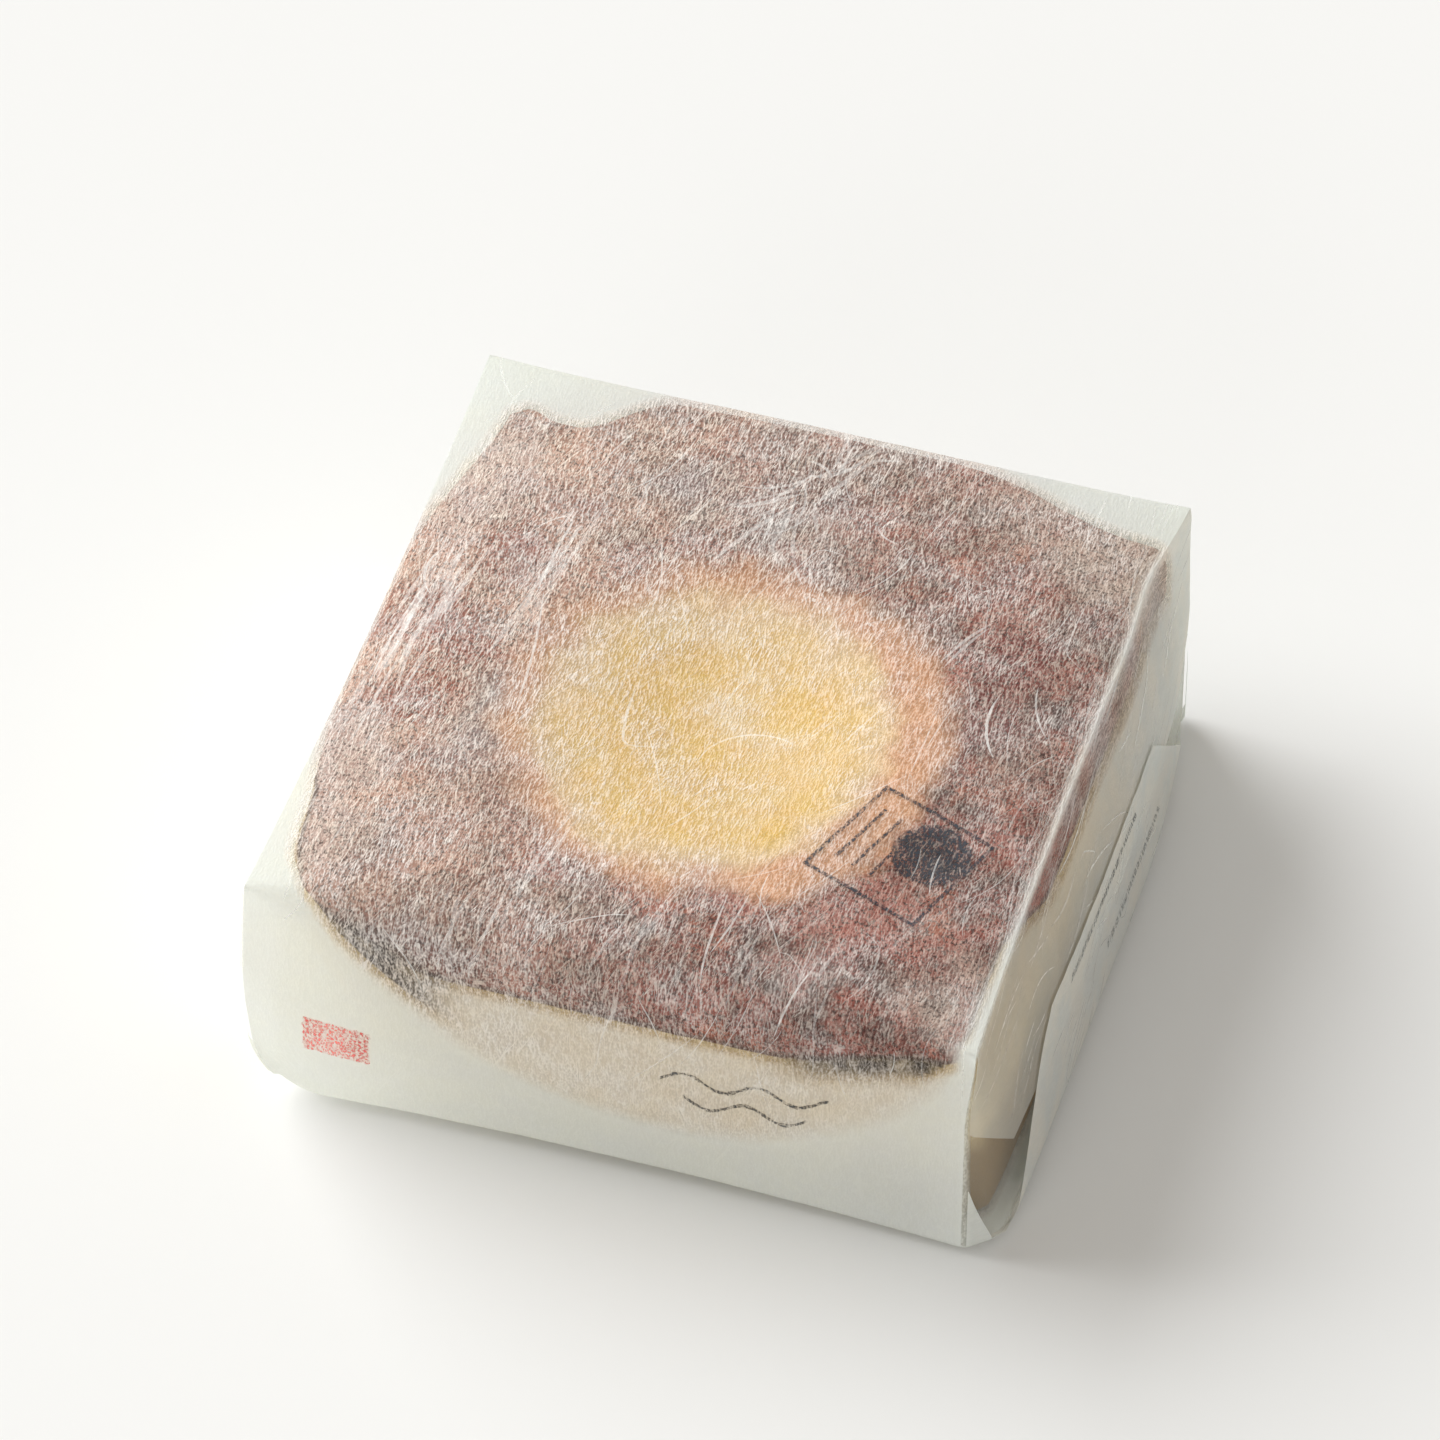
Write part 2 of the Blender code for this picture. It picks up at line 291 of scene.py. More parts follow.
class Recipe:
    """Places and wires the nodes of one material or group."""

    def __init__(self, tree: bpy.types.NodeTree) -> None:
        """Starts on an emptied node tree."""
        self.tree = tree
        tree.nodes.clear()

    def node(self, kind: str, **settings: Any) -> bpy.types.Node:
        """Adds a node with some of its settings.

        Args:
            kind: Node type, without its ShaderNode prefix.
            settings: Attributes of the node.

        Returns:
            The node.
        """
        made = self.tree.nodes.new(kind if kind.startswith("Node") else f"ShaderNode{kind}")
        for name, value in settings.items():
            setattr(made, name, value)
        return made

    def feed(self, socket: Socket, value: Any) -> None:
        """Links a socket to another, or sets its plain value."""
        if isinstance(value, bpy.types.NodeSocket):
            self.tree.links.new(value, socket)
        elif isinstance(value, tuple) and len(value) == 3 and socket.type == "RGBA":
            socket.default_value = (*value, 1.0)
        else:
            socket.default_value = value

    def maths(self, operation: str, first: Any, second: Any = 0.0, third: Any = 0.0) -> Socket:
        """A Math node.

        Args:
            operation: Its operation.
            first: First value or socket.
            second: Second value or socket.
            third: Third value or socket.

        Returns:
            The result's socket.
        """
        made = self.node("Math", operation=operation)
        for index, value in enumerate((first, second, third)):
            self.feed(made.inputs[index], value)
        return made.outputs[0]

    def product(self, *values: Any) -> Socket:
        """Multiplies values.

        Args:
            values: Two or more values or sockets, the first a socket.

        Returns:
            The product's socket.
        """
        made, *others = values
        for value in others:
            made = self.maths("MULTIPLY", made, value)
        return made

    def away(self, value: Any, middle: Any) -> Socket:
        """How far a value lies from another, either way."""
        return self.maths("ABSOLUTE", self.maths("SUBTRACT", value, middle))

    def vector_maths(self, operation: str, first: Any, second: Any) -> Socket:
        """A Vector Math node.

        Args:
            operation: Its operation.
            first: First vector or socket.
            second: Second vector or socket.

        Returns:
            The resulting vector's socket.
        """
        made = self.node("VectorMath", operation=operation)
        self.feed(made.inputs[0], first)
        self.feed(made.inputs[1], second)
        return made.outputs[0]

    def length(self, vector: Socket) -> Socket:
        """Measures a vector.

        Args:
            vector: The vector's socket.

        Returns:
            The socket of its length.
        """
        made = self.node("VectorMath", operation="LENGTH")
        self.feed(made.inputs[0], vector)
        return made.outputs["Value"]

    def parts(self, vector: Any) -> Any:
        """Splits a vector.

        Args:
            vector: Vector or socket.

        Returns:
            The sockets of X, Y and Z.
        """
        made = self.node("SeparateXYZ")
        self.feed(made.inputs[0], vector)
        return made.outputs

    def joined(self, x: Any, y: Any = 0.0) -> Socket:
        """Joins two numbers to a flat vector.

        Args:
            x: Value or socket along X.
            y: Value or socket along Y.

        Returns:
            The vector's socket.
        """
        made = self.node("CombineXYZ")
        self.feed(made.inputs[0], x)
        self.feed(made.inputs[1], y)
        return made.outputs[0]

    def blended(self, share: Any, first: Any, second: Any) -> Socket:
        """Mixes two plain numbers.

        Args:
            share: How much of the second number.
            first: First value or socket.
            second: Second value or socket.

        Returns:
            The mixed number's socket.
        """
        made = self.node("Mix", data_type="FLOAT")
        for index, value in ((0, share), (2, first), (3, second)):
            self.feed(made.inputs[index], value)
        return made.outputs[0]

    def tinted(self, share: Any, first: Any, second: Any) -> Socket:
        """Mixes two colours by a share.

        Args:
            share: How much of the second colour.
            first: First colour or socket.
            second: Second colour or socket.

        Returns:
            The colour's socket.
        """
        made = self.node("Mix", data_type="RGBA")
        for index, value in ((0, share), (6, first), (7, second)):
            self.feed(made.inputs[index], value)
        return made.outputs[2]

    def ranged(self, value: Any, low: float, high: float, start: float = 0.0, stop: float = 1.0) -> Socket:
        """Eases a value from start to stop as it goes from low to high.

        Args:
            value: Value or socket.
            low: Where the easing starts.
            high: Where it ends; may be the smaller of the two.
            start: Result at low.
            stop: Result at high.

        Returns:
            The eased value's socket.
        """
        if low > high:
            low, high, start, stop = high, low, stop, start
        made = self.node("MapRange", interpolation_type="SMOOTHSTEP")
        for index, part in enumerate((value, low, high, start, stop)):
            self.feed(made.inputs[index], part)
        return made.outputs[0]

    def speckle(self, vector: Any, scale: float, detail: float = 2.0, roughness: float = 0.5) -> Socket:
        """A soft random pattern.

        Args:
            vector: Coordinates.
            scale: Features per unit.
            detail: Octaves of finer pattern.
            roughness: Strength of the finer pattern.

        Returns:
            The pattern's value, about 0.5 in the mean.
        """
        made = self.node("TexNoise")
        self.feed(made.inputs["Vector"], vector)
        for name, value in (("Scale", scale), ("Detail", detail), ("Roughness", roughness)):
            made.inputs[name].default_value = value
        return made.outputs["Fac"]

    def turned(self, vector: Any, nap: Nap) -> Socket:
        """Turns and stretches coordinates about Z.

        Args:
            vector: Coordinates.
            nap: The turn, the factors after it, and a shift that parts patterns with shared coordinates.

        Returns:
            The new coordinates.
        """
        turning = self.node("Mapping")
        self.feed(turning.inputs["Vector"], vector)
        turning.inputs["Rotation"].default_value = (0.0, 0.0, math.radians(nap.turn))
        turning.inputs["Location"].default_value = nap.shift
        return self.vector_maths("MULTIPLY", turning.outputs[0], nap.scale)

    def warped(self, vector: Any, scale: float, reach: float) -> Socket:
        """Pushes coordinates about by a soft random pattern.

        Args:
            vector: Coordinates.
            scale: Features per unit of the pattern.
            reach: Largest push.

        Returns:
            The new coordinates.
        """
        pattern = self.node("TexNoise")
        self.feed(pattern.inputs["Vector"], vector)
        pattern.inputs["Scale"].default_value = scale
        pattern.inputs["Detail"].default_value = 0.0
        centred = self.vector_maths("SUBTRACT", pattern.outputs["Color"], (0.5, 0.5, 0.5))
        push = self.vector_maths("MULTIPLY", centred, (2 * reach,) * 3)
        return self.vector_maths("ADD", vector, push)

    def uv(self, name: str) -> Socket:
        """Coordinates of a UV map."""
        return self.node("UVMap", uv_map=name).outputs[0]

    def attribute(self, name: str) -> Socket:
        """A plain number stored on the mesh."""
        return self.node("Attribute", attribute_name=name).outputs["Fac"]

    def effect(self, group: bpy.types.NodeTree, **values: Any) -> bpy.types.Node:
        """Places a shared effect.

        Args:
            group: The node group.
            values: Its inputs, with underscores for spaces.

        Returns:
            The group's node.
        """
        made = self.node("Group")
        made.node_tree = group
        for name, value in values.items():
            self.feed(made.inputs[name.replace("_", " ")], value)
        return made

    def bump(self, height: Socket, strength: Any, distance: float) -> Socket:
        """Gives a surface fine relief.

        Args:
            height: The pattern's socket.
            strength: Share of the relief.
            distance: Its depth.

        Returns:
            The normal's socket.
        """
        made = self.node("Bump")
        for name, value in (("Height", height), ("Strength", strength), ("Distance", distance)):
            self.feed(made.inputs[name], value)
        return made.outputs[0]

    def shader(self, kind: str, **values: Any) -> Socket:
        """A shader node.

        Args:
            kind: Node type, without its ShaderNodeBsdf prefix.
            values: Its inputs, with underscores for spaces.

        Returns:
            The shader's socket.
        """
        made = self.node(f"Bsdf{kind}")
        for name, value in values.items():
            self.feed(made.inputs[name.replace("_", " ")], value)
        return made.outputs[0]

    def shared(self, share: Any, first: Socket, second: Socket) -> Socket:
        """Mixes two shaders.

        Args:
            share: How much of the second one.
            first: First shader.
            second: Second shader.

        Returns:
            The mixed shader's socket.
        """
        made = self.node("MixShader")
        for index, value in enumerate((share, first, second)):
            self.feed(made.inputs[index], value)
        return made.outputs[0]

    def surface(self, shader: Socket) -> None:
        """Puts a shader out as the material's surface."""
        self.feed(self.node("OutputMaterial").inputs["Surface"], shader)


def new_material(name: str) -> tuple[bpy.types.Material, Recipe]:
    """Makes a material with an emptied node tree.

    Args:
        name: The material's name.

    Returns:
        The material and the recipe for its nodes.
    """
    material = bpy.data.materials.new(name)
    material.use_nodes = True
    return material, Recipe(material.node_tree)


class Effect(ABC):
    """A shader node group that several finishes share, built once."""

    name: str
    takes: dict[str, str]
    gives: dict[str, str]

    def __init__(self) -> None:
        """Builds the group's sockets and its nodes."""
        self.group = bpy.data.node_groups.new(self.name, "ShaderNodeTree")
        for in_out, sockets in (("INPUT", self.takes), ("OUTPUT", self.gives)):
            for name, kind in sockets.items():
                self.group.interface.new_socket(name, in_out=in_out, socket_type=f"NodeSocket{kind}")
        recipe = Recipe(self.group)
        given = recipe.node("NodeGroupInput")
        put_out = recipe.node("NodeGroupOutput")
        for name, socket in self.wire(recipe, given).items():
            recipe.feed(put_out.inputs[name], socket)

    @abstractmethod
    def wire(self, recipe: Recipe, given: bpy.types.Node) -> dict[str, Socket]:
        """Builds the effect.

        Args:
            recipe: Where its nodes go.
            given: The group's inputs.

        Returns:
            A socket for each output by name.
        """


class Fleece(Effect):
    """Short matted fibres of handmade paper, with pinholes between them and a cloudy thickness."""

    name = "paper fleece"
    takes = {"Place": "Vector"}
    gives = {"Matting": "Float", "Hairs": "Float", "Cloud": "Float"}
    warp_scale = 0.10
    warp_reach = 0.30
    mats = (Nap(4, (2.7, 0.40, 1)), Nap(-10, (2.4, 0.48, 1), (31, 7, 0)))
    mat_detail = 1.6
    mat_roughness = 0.55
    grain = Nap(6, (3.7, 2.0, 1), (5, 71, 0))
    grain_share = 0.30
    open_level = 0.41
    matted_level = 0.70
    strands = (Nap(2, (1.1, 0.05, 1), (3, 0, 0)), Nap(-13, (1.2, 0.07, 1), (0, 50, 0)),
               Nap(24, (0.9, 0.06, 1), (90, 0, 0)))
    strand_edges = (0.015, 0.006)
    strand_stretches = (0.9, 0.13, 1)
    cloud_scale = 0.11

    def hairs(self, recipe: Recipe, place: Socket) -> Socket:
        """Draws long hairs as the thin lines where a soft pattern crosses its middle level.

        Args:
            recipe: Where the nodes go.
            place: Coordinates in millimetres.

        Returns:
            1 on a hair, 0 beside it.
        """
        drawn: Socket | None = None
        for strand in self.strands:
            level = recipe.speckle(recipe.turned(place, strand), 1.0, 0.0)
            stretches = recipe.turned(place, replace(strand, scale=self.strand_stretches))
            there = recipe.ranged(recipe.speckle(stretches, 1.0, 0.0), 0.5, 0.62)
            line = recipe.product(recipe.ranged(recipe.away(level, 0.5), *self.strand_edges), there)
            drawn = line if drawn is None else recipe.maths("MAXIMUM", drawn, line)
        return drawn

    def wire(self, recipe: Recipe, given: bpy.types.Node) -> dict[str, Socket]:
        """Lays two mats of fibres over each other, with a finer grain, the hairs and soft clouds.

        Args:
            recipe: Where the nodes go.
            given: The group's inputs; Place is in metres on the flat sheet.

        Returns:
            Matting, Hairs and Cloud, each from 0 to 1.
        """
        place = recipe.vector_maths("MULTIPLY", given.outputs["Place"], (MM,) * 3)
        place = recipe.warped(place, self.warp_scale, self.warp_reach)
        along, across = (
            recipe.speckle(recipe.turned(place, mat), 1.0, self.mat_detail, self.mat_roughness)
            for mat in self.mats)
        grain = recipe.speckle(recipe.turned(place, self.grain), 1.0, 0.0)
        matted = recipe.blended(self.grain_share, recipe.maths("MAXIMUM", along, across), grain)
        cloud = recipe.speckle(place, self.cloud_scale, 3.0, 0.6)
        return {
            "Matting": recipe.ranged(matted, self.open_level, self.matted_level),
            "Hairs": self.hairs(recipe, place),
            "Cloud": recipe.ranged(cloud, 0.34, 0.66)}


class Mottle(Effect):
    """Uneven baking: soft patches of two shades with a finer grain over them."""

    name = "baked mottle"
    takes = {"Place": "Vector", "Patch": "Float", "Light": "Color", "Dark": "Color"}
    gives = {"Colour": "Color"}
    detail = 5.0
    roughness = 0.74

    def wire(self, recipe: Recipe, given: bpy.types.Node) -> dict[str, Socket]:
        """Mixes the two shades by a rough pattern.

        Args:
            recipe: Where the nodes go.
            given: The group's inputs; Patch is the number of patches per metre.

        Returns:
            Colour.
        """
        scaled = recipe.node("VectorMath", operation="SCALE")
        recipe.feed(scaled.inputs[0], given.outputs["Place"])
        recipe.feed(scaled.inputs["Scale"], given.outputs["Patch"])
        depth = recipe.ranged(recipe.speckle(scaled.outputs[0], 1.0, self.detail, self.roughness), 0.36, 0.64)
        return {"Colour": recipe.tinted(depth, given.outputs["Light"], given.outputs["Dark"])}


@dataclass(frozen=True)
class WashiFinish:
    """Thin handmade paper: see-through between its fibres where it touches the cake, milky where it lifts.

    Pairs of numbers are ends of a blend. Weight runs from thin to thick paper, and lifted from paper that
    touches the cake to paper that is clear of it. The weight's rise to the left and the back is partly
    painted
    light: whiter paper where the key light falls from the back left and where it glows through the back of
    the ends.
    """

    fleece: bpy.types.NodeTree
    pack: PackForm
    name: str = "washi"
    white: Colour = (0.915, 0.945, 0.905)
    cool: Colour = (0.905, 0.935, 0.915)
    # Painted light: the warm tones of paper that touches the cake stand in for light bounced off the crust
    # through the paper.
    crust_bounce_tint: Colour = (0.955, 0.835, 0.72)
    cloudy_crust_bounce_tint: Colour = (0.93, 0.865, 0.82)
    pinhole: tuple[float, float] = (0.0, 0.09)
    matted: tuple[float, float] = (0.28, 0.87)
    shaded: float = 0.76
    hair: float = 1.35
    lifted: tuple[float, float] = (0.95, 0.97)
    touch: float = 0.30
    clear_of: float = 1.7
    glow: tuple[float, float] = (0.12, 0.40)
    relief: tuple[float, float] = (0.7, 0.14)
    relief_depth: float = 0.00030
    left_weight_and_light: float = 0.78
    back_weight_and_light: float = 0.32
    back_start: float = 0.115
    back_full: float = 0.200
    cloud_weight: float = 0.52
    crease_half_width: float = 0.0011
    crease_cover: float = 0.98

    def crease(self, recipe: Recipe, place: Socket) -> Socket:
        """Whitened line along the right end's crease: partly worn, doubled paper, partly a painted highlight
        where the fold catches the light.

        Args:
            recipe: Where the nodes go.
            place: Place on the flat sheet.

        Returns:
            1 on a crease, easing to 0 beside it.
        """
        off = recipe.away(recipe.parts(place)[0], self.pack.half_width)
        return recipe.ranged(off, self.crease_half_width, 0.0001)

    def cover(self, recipe: Recipe, place: Socket, fleece: Any, lifted: Socket) -> Socket:
        """How much the paper hides of what lies behind it.

        Args:
            recipe: Where the nodes go.
            place: Place on the flat sheet.
            fleece: Outputs of the fleece.
            lifted: 0 where the paper touches the cake to 1 where it is clear of it.

        Returns:
            The paper's alpha.
        """
        fibres = recipe.maths("MAXIMUM", fleece["Matting"], recipe.product(fleece["Hairs"], self.hair))
        x, y, _z = recipe.parts(place)
        half = self.pack.half_width
        # Partly painted light: the paper grows whiter to the left and the back, standing in for the key light
        # from the back left; on the flaps it also stands in for light glowing through the back of the end,
        # and the lifted paper's cover rises to the back as well.
        to_back = recipe.ranged(y, self.back_start, self.back_full)
        weight = recipe.ranged(x, -half, half * 0.8, self.left_weight_and_light, 0.0)
        weight = recipe.maths("MULTIPLY_ADD", to_back, self.back_weight_and_light, weight)
        weight = recipe.maths("MULTIPLY_ADD", fleece["Cloud"], self.cloud_weight, weight)
        pinhole, matted = (recipe.blended(weight, *pair) for pair in (self.pinhole, self.matted))
        close = recipe.blended(fibres, pinhole, matted)
        loose = recipe.product(recipe.blended(to_back, *self.lifted), recipe.blended(fibres, 0.97, 1.02))
        # Partly painted highlight: the crease is made nearly opaque white where the fold catches the light.
        crease_wear_and_sheen = recipe.product(self.crease(recipe, place), recipe.ranged(fibres, 0.0, 0.8, 0.6, 1.0))
        return recipe.blended(crease_wear_and_sheen, recipe.blended(lifted, close, loose), self.crease_cover)

    def build(self) -> bpy.types.Material:
        """Makes the material, with its alpha led by the gap between paper and cake."""
        material, recipe = new_material(self.name)
        place = recipe.uv(SHEET_UV)
        fleece = recipe.effect(self.fleece, Place=place).outputs
        matting, cloud = fleece["Matting"], fleece["Cloud"]
        lifted = recipe.ranged(recipe.attribute("gap"), self.touch, self.clear_of)
        # Painted light: warm tint where the paper touches the cake, for light bounced off the crust.
        near = recipe.tinted(cloud, self.crust_bounce_tint, self.cloudy_crust_bounce_tint)
        tone = recipe.tinted(lifted, near, recipe.tinted(cloud, self.white, self.cool))
        relief = recipe.bump(matting, recipe.blended(lifted, *self.relief), self.relief_depth)
        paper = recipe.shader(
            "Principled", Base_Color=tone, Roughness=0.82, Specular_IOR_Level=0.25, Normal=relief)
        through = recipe.shader("Translucent", Color=tone)
        sheet = recipe.shared(recipe.blended(lifted, *self.glow), paper, through)
        shade = recipe.ranged(matting, 0.0, 0.7, self.shaded, 1.0)
        clear = recipe.shader("Transparent", Color=recipe.blended(lifted, shade, 1.0))
        recipe.surface(recipe.shared(self.cover(recipe, place, fleece, lifted), clear, sheet))
        return material


@dataclass(frozen=True)
class Blush:
    """A tint that comes and goes over the baked skin in a soft random pattern."""

    shade: Colour
    scale: float
    low: float
    high: float
    share: float
    shift: tuple[float, float, float]
    roughness: float = 0.6


@dataclass(frozen=True)
class Patch:
    """A soft patch of one shade in the baked skin."""

    x: float
    y: float
    reach: float
    shade: Colour
    share: float = 0.7


RUST = (0.50, 0.12, 0.060)
EMBER = (0.22, 0.016, 0.012)
CREAM = (0.86, 0.66, 0.60)
SAND = (0.66, 0.52, 0.44)
LILAC = (0.36, 0.27, 0.28)
BROWN = (0.17, 0.035, 0.020)


@dataclass(frozen=True)
class CakeFinish:
    """Baked skin with a soft yellow heart on top, and open crumb on the sides.

    Places are in metres, and distances from the heart's middle and over the skin's edge in millimetres.
    """

    mottle: bpy.types.NodeTree
    name: str = "castella"
    skin: Colour = (0.34, 0.082, 0.055)
    dark_skin: Colour = (0.09, 0.026, 0.020)
    skin_patch: float = 150.0
    blushes: tuple[Blush, ...] = (
        Blush((0.50, 0.160, 0.120), 75.0, 0.42, 0.62, 0.75, (0.31, 0.12, 0.0)),
        Blush((0.60, 0.170, 0.075), 110.0, 0.56, 0.70, 0.6, (0.0, 0.47, 0.2)),
        Blush((0.32, 0.190, 0.155), 62.0, 0.55, 0.68, 0.6, (0.77, 0.0, 0.5), 0.55))
    # Paler skin to the left and the back: partly its own tone, partly painted light where the key light
    # falls.
    pale: Colour = (0.84, 0.50, 0.37)
    patches: tuple[Patch, ...] = (
        Patch(-0.0475, -0.0240, 0.0120, CREAM, 0.95), Patch(-0.0440, -0.0400, 0.0110, CREAM, 0.9),
        Patch(-0.0440, 0.0300, 0.0150, CREAM, 0.95), Patch(-0.0300, -0.0140, 0.0090, LILAC, 0.8),
        Patch(-0.0150, 0.0344, 0.0080, LILAC), Patch(-0.0397, -0.0010, 0.0080, RUST, 1.0),
        Patch(-0.0390, -0.0120, 0.0085, RUST, 1.0), Patch(-0.0360, 0.0160, 0.0070, RUST, 0.9),
        Patch(-0.0490, 0.0020, 0.0080, RUST), Patch(-0.0245, -0.0510, 0.0120, BROWN, 0.75),
        Patch(0.0330, 0.0056, 0.0080, EMBER, 0.9), Patch(0.0345, 0.0166, 0.0080, EMBER, 0.9),
        Patch(0.0347, 0.0440, 0.0140, SAND, 0.6), Patch(0.0470, 0.0390, 0.0130, SAND, 1.0),
        Patch(0.0430, -0.0440, 0.0090, SAND, 0.6), Patch(0.0300, 0.0060, 0.0080, EMBER, 0.5),
        # Painted shade: the brown patch at the back middle darkens the skin there.
        Patch(-0.0020, 0.0370, 0.0110, BROWN, 0.6))
    pore: Colour = (0.050, 0.016, 0.012)
    pore_scale: float = 2300.0
    heart: Colour = (0.94, 0.635, 0.02)
    heart_gold: Colour = (0.92, 0.58, 0.012)
    heart_patch: float = 210.0
    heart_wander: float = 11.0
    heart_edge: tuple[float, float] = (16.0, 23.5)
    cream: Colour = (0.92, 0.69, 0.38)
    cream_edge: tuple[float, float] = (22.0, 26.0)
    peach: Colour = (0.78, 0.41, 0.21)
    peach_edge: tuple[float, float] = (25.0, 30.0)
    flush: float = 5.0
    crumb: Colour = (0.74, 0.59, 0.33)
    crumb_shade: Colour = (0.60, 0.44, 0.23)
    crumb_patch: float = 620.0
    # Painted shadow: dark line along the skin's lower edge, where the overhanging skin shades the crumb.
    rim: Colour = (0.09, 0.035, 0.02)
    # Painted shade: darker brown crumb low on the right end, the side away from the key light.
    low_right_shade: Colour = (0.26, 0.155, 0.050)
    low_right_shade_heights: tuple[float, float] = (0.0190, 0.0120)
    scorch: Colour = (0.040, 0.025, 0.015)
    grain_scale: float = 1500.0
    grain_depth: float = 0.0003

    def build(self) -> bpy.types.Material:
        """Makes the material from the fields stored on the cake's mesh."""
        material, recipe = new_material(self.name)
        place = recipe.node("TexCoord").outputs["Object"]
        x, _y, z = recipe.parts(place)
        top = self.top(recipe, place, self.crust(recipe, place))
        crumb = recipe.effect(
            self.mottle, Place=place, Patch=self.crumb_patch, Light=self.crumb, Dark=self.crumb_shade)
        ragged = recipe.product(recipe.maths("SUBTRACT", recipe.speckle(place, 330.0, 3.0), 0.5), 1.6)
        edge = recipe.maths("ADD", recipe.attribute("crust"), ragged)
        colour = recipe.tinted(recipe.ranged(edge, -0.25, 0.25), crumb.outputs["Colour"], top)
        # Painted shadow: a dark line along the skin's lower edge, under its overhang.
        rim = recipe.product(recipe.ranged(recipe.away(edge, 0.3), 0.9, 0.1), 0.85)
        colour = recipe.tinted(rim, colour, self.rim)
        # Painted shade: the crumb darkens to brown low on the right end.
        baked = recipe.maths("MULTIPLY_ADD", ragged, 0.002, z)
        low = recipe.product(recipe.ranged(baked, *self.low_right_shade_heights), recipe.ranged(x, 0.030, 0.036))
        colour = recipe.tinted(low, colour, self.low_right_shade)
        patchy = recipe.ranged(recipe.speckle(place, 260.0, 2.0), 0.25, 0.6, 0.55, 1.0)
        colour = recipe.tinted(recipe.product(recipe.attribute("scorch"), patchy), colour, self.scorch)
        grain = recipe.speckle(place, self.grain_scale, 3.0, 0.6)
        recipe.surface(recipe.shader(
            "Principled", Base_Color=colour, Roughness=recipe.ranged(grain, 0.2, 0.8, 0.55, 0.8),
            Normal=recipe.bump(grain, 0.5, self.grain_depth)))
        return material

    def crust(self, recipe: Recipe, place: Socket) -> Socket:
        """Mottled brown skin, paler to the left and the back, partly its own tone and partly painted light
        from the back left, with soft tints and the larger patches by their places; one brown patch at the
        back is painted shade.

        Args:
            recipe: Where the nodes go.
            place: Coordinates on the cake.

        Returns:
            The colour's socket.
        """
        base = recipe.effect(
            self.mottle, Place=place, Patch=self.skin_patch, Light=self.skin, Dark=self.dark_skin)
        colour = base.outputs["Colour"]
        for blush in self.blushes:
            shifted = recipe.vector_maths("ADD", place, blush.shift)
            pattern = recipe.speckle(shifted, blush.scale, 3.0, blush.roughness)
            share = recipe.ranged(pattern, blush.low, blush.high, 0.0, blush.share)
            colour = recipe.tinted(share, colour, blush.shade)
        x, y, _z = recipe.parts(place)
        # Partly painted light: the skin turns paler to the left and a little to the back, where the key light
        # falls.
        pale_partly_lit = recipe.maths(
            "ADD", recipe.ranged(x, -0.048, 0.012, 0.95, 0.0), recipe.ranged(y, 0.010, 0.045, 0.0, 0.15))
        blotch = recipe.ranged(recipe.speckle(place, 95.0, 3.0, 0.6), 0.36, 0.60, 0.40, 1.0)
        colour = recipe.tinted(recipe.product(pale_partly_lit, blotch), colour, self.pale)
        flat = recipe.vector_maths("MULTIPLY", recipe.warped(place, 140.0, 0.006), (1.0, 1.0, 0.0))
        uneven = recipe.ranged(recipe.speckle(place, 420.0, 2.0), 0.36, 0.60, 0.62, 1.0)
        for patch in self.patches:
            off = recipe.length(recipe.vector_maths("SUBTRACT", flat, (patch.x, patch.y, 0.0)))
            share = recipe.ranged(off, patch.reach, patch.reach * 0.3, 0.0, patch.share)
            colour = recipe.tinted(recipe.product(share, uneven), colour, patch.shade)
        pores = recipe.ranged(recipe.speckle(place, self.pore_scale, 1.0), 0.50, 0.36, 0.0, 0.85)
        return recipe.tinted(pores, colour, self.pore)

    def top(self, recipe: Recipe, place: Socket, crust: Socket) -> Socket:
        """Lays the yellow heart with its cream and peach rims into the crust.

        Args:
            recipe: Where the nodes go.
            place: Coordinates on the cake.
            crust: Colour of the skin.

        Returns:
            The colour's socket.
        """
        wander = recipe.maths("SUBTRACT", recipe.speckle(place, 85.0, 3.0, 0.6), 0.5)
        heart = recipe.maths("MULTIPLY_ADD", wander, self.heart_wander, recipe.attribute("heart"))
        yellow = recipe.effect(
            self.mottle, Place=place, Patch=self.heart_patch, Light=self.heart, Dark=self.heart_gold)
        flush = recipe.ranged(recipe.parts(place)[0], 0.004, 0.028, 0.0, self.flush)
        flushed = recipe.maths("SUBTRACT", heart, flush)
        rim = recipe.tinted(recipe.ranged(flushed, *self.peach_edge), self.peach, crust)
        rim = recipe.tinted(recipe.ranged(heart, *self.cream_edge), self.cream, rim)
        return recipe.tinted(recipe.ranged(heart, *self.heart_edge), yellow.outputs["Colour"], rim)


@dataclass(frozen=True)
class ThreadFinish:
    """Long glossy bast fibres that lie loose in the sheet."""

    name: str = "long fibre"
    white: Colour = (0.98, 0.975, 0.95)
    dull: Colour = (0.90, 0.90, 0.89)
    glow: float = 0.3
    streak_scale: float = 900.0

    def build(self) -> bpy.types.Material:
        """Makes the material; each fibre's strength is stored on its mesh."""
        material, recipe = new_material(self.name)
        streak = recipe.speckle(recipe.node("TexCoord").outputs["Object"], self.streak_scale, 2.0)
        tone = recipe.tinted(streak, self.white, self.dull)
        glossy = recipe.shader("Principled", Base_Color=tone, Roughness=0.5)
        fibre = recipe.shared(self.glow, glossy, recipe.shader("Translucent", Color=tone))
        broken = recipe.ranged(streak, 0.3, 0.62, 0.55, 1.0)
        seen = recipe.product(recipe.attribute("strength"), broken)
        recipe.surface(recipe.shared(seen, recipe.shader("Transparent"), fibre))
        return material


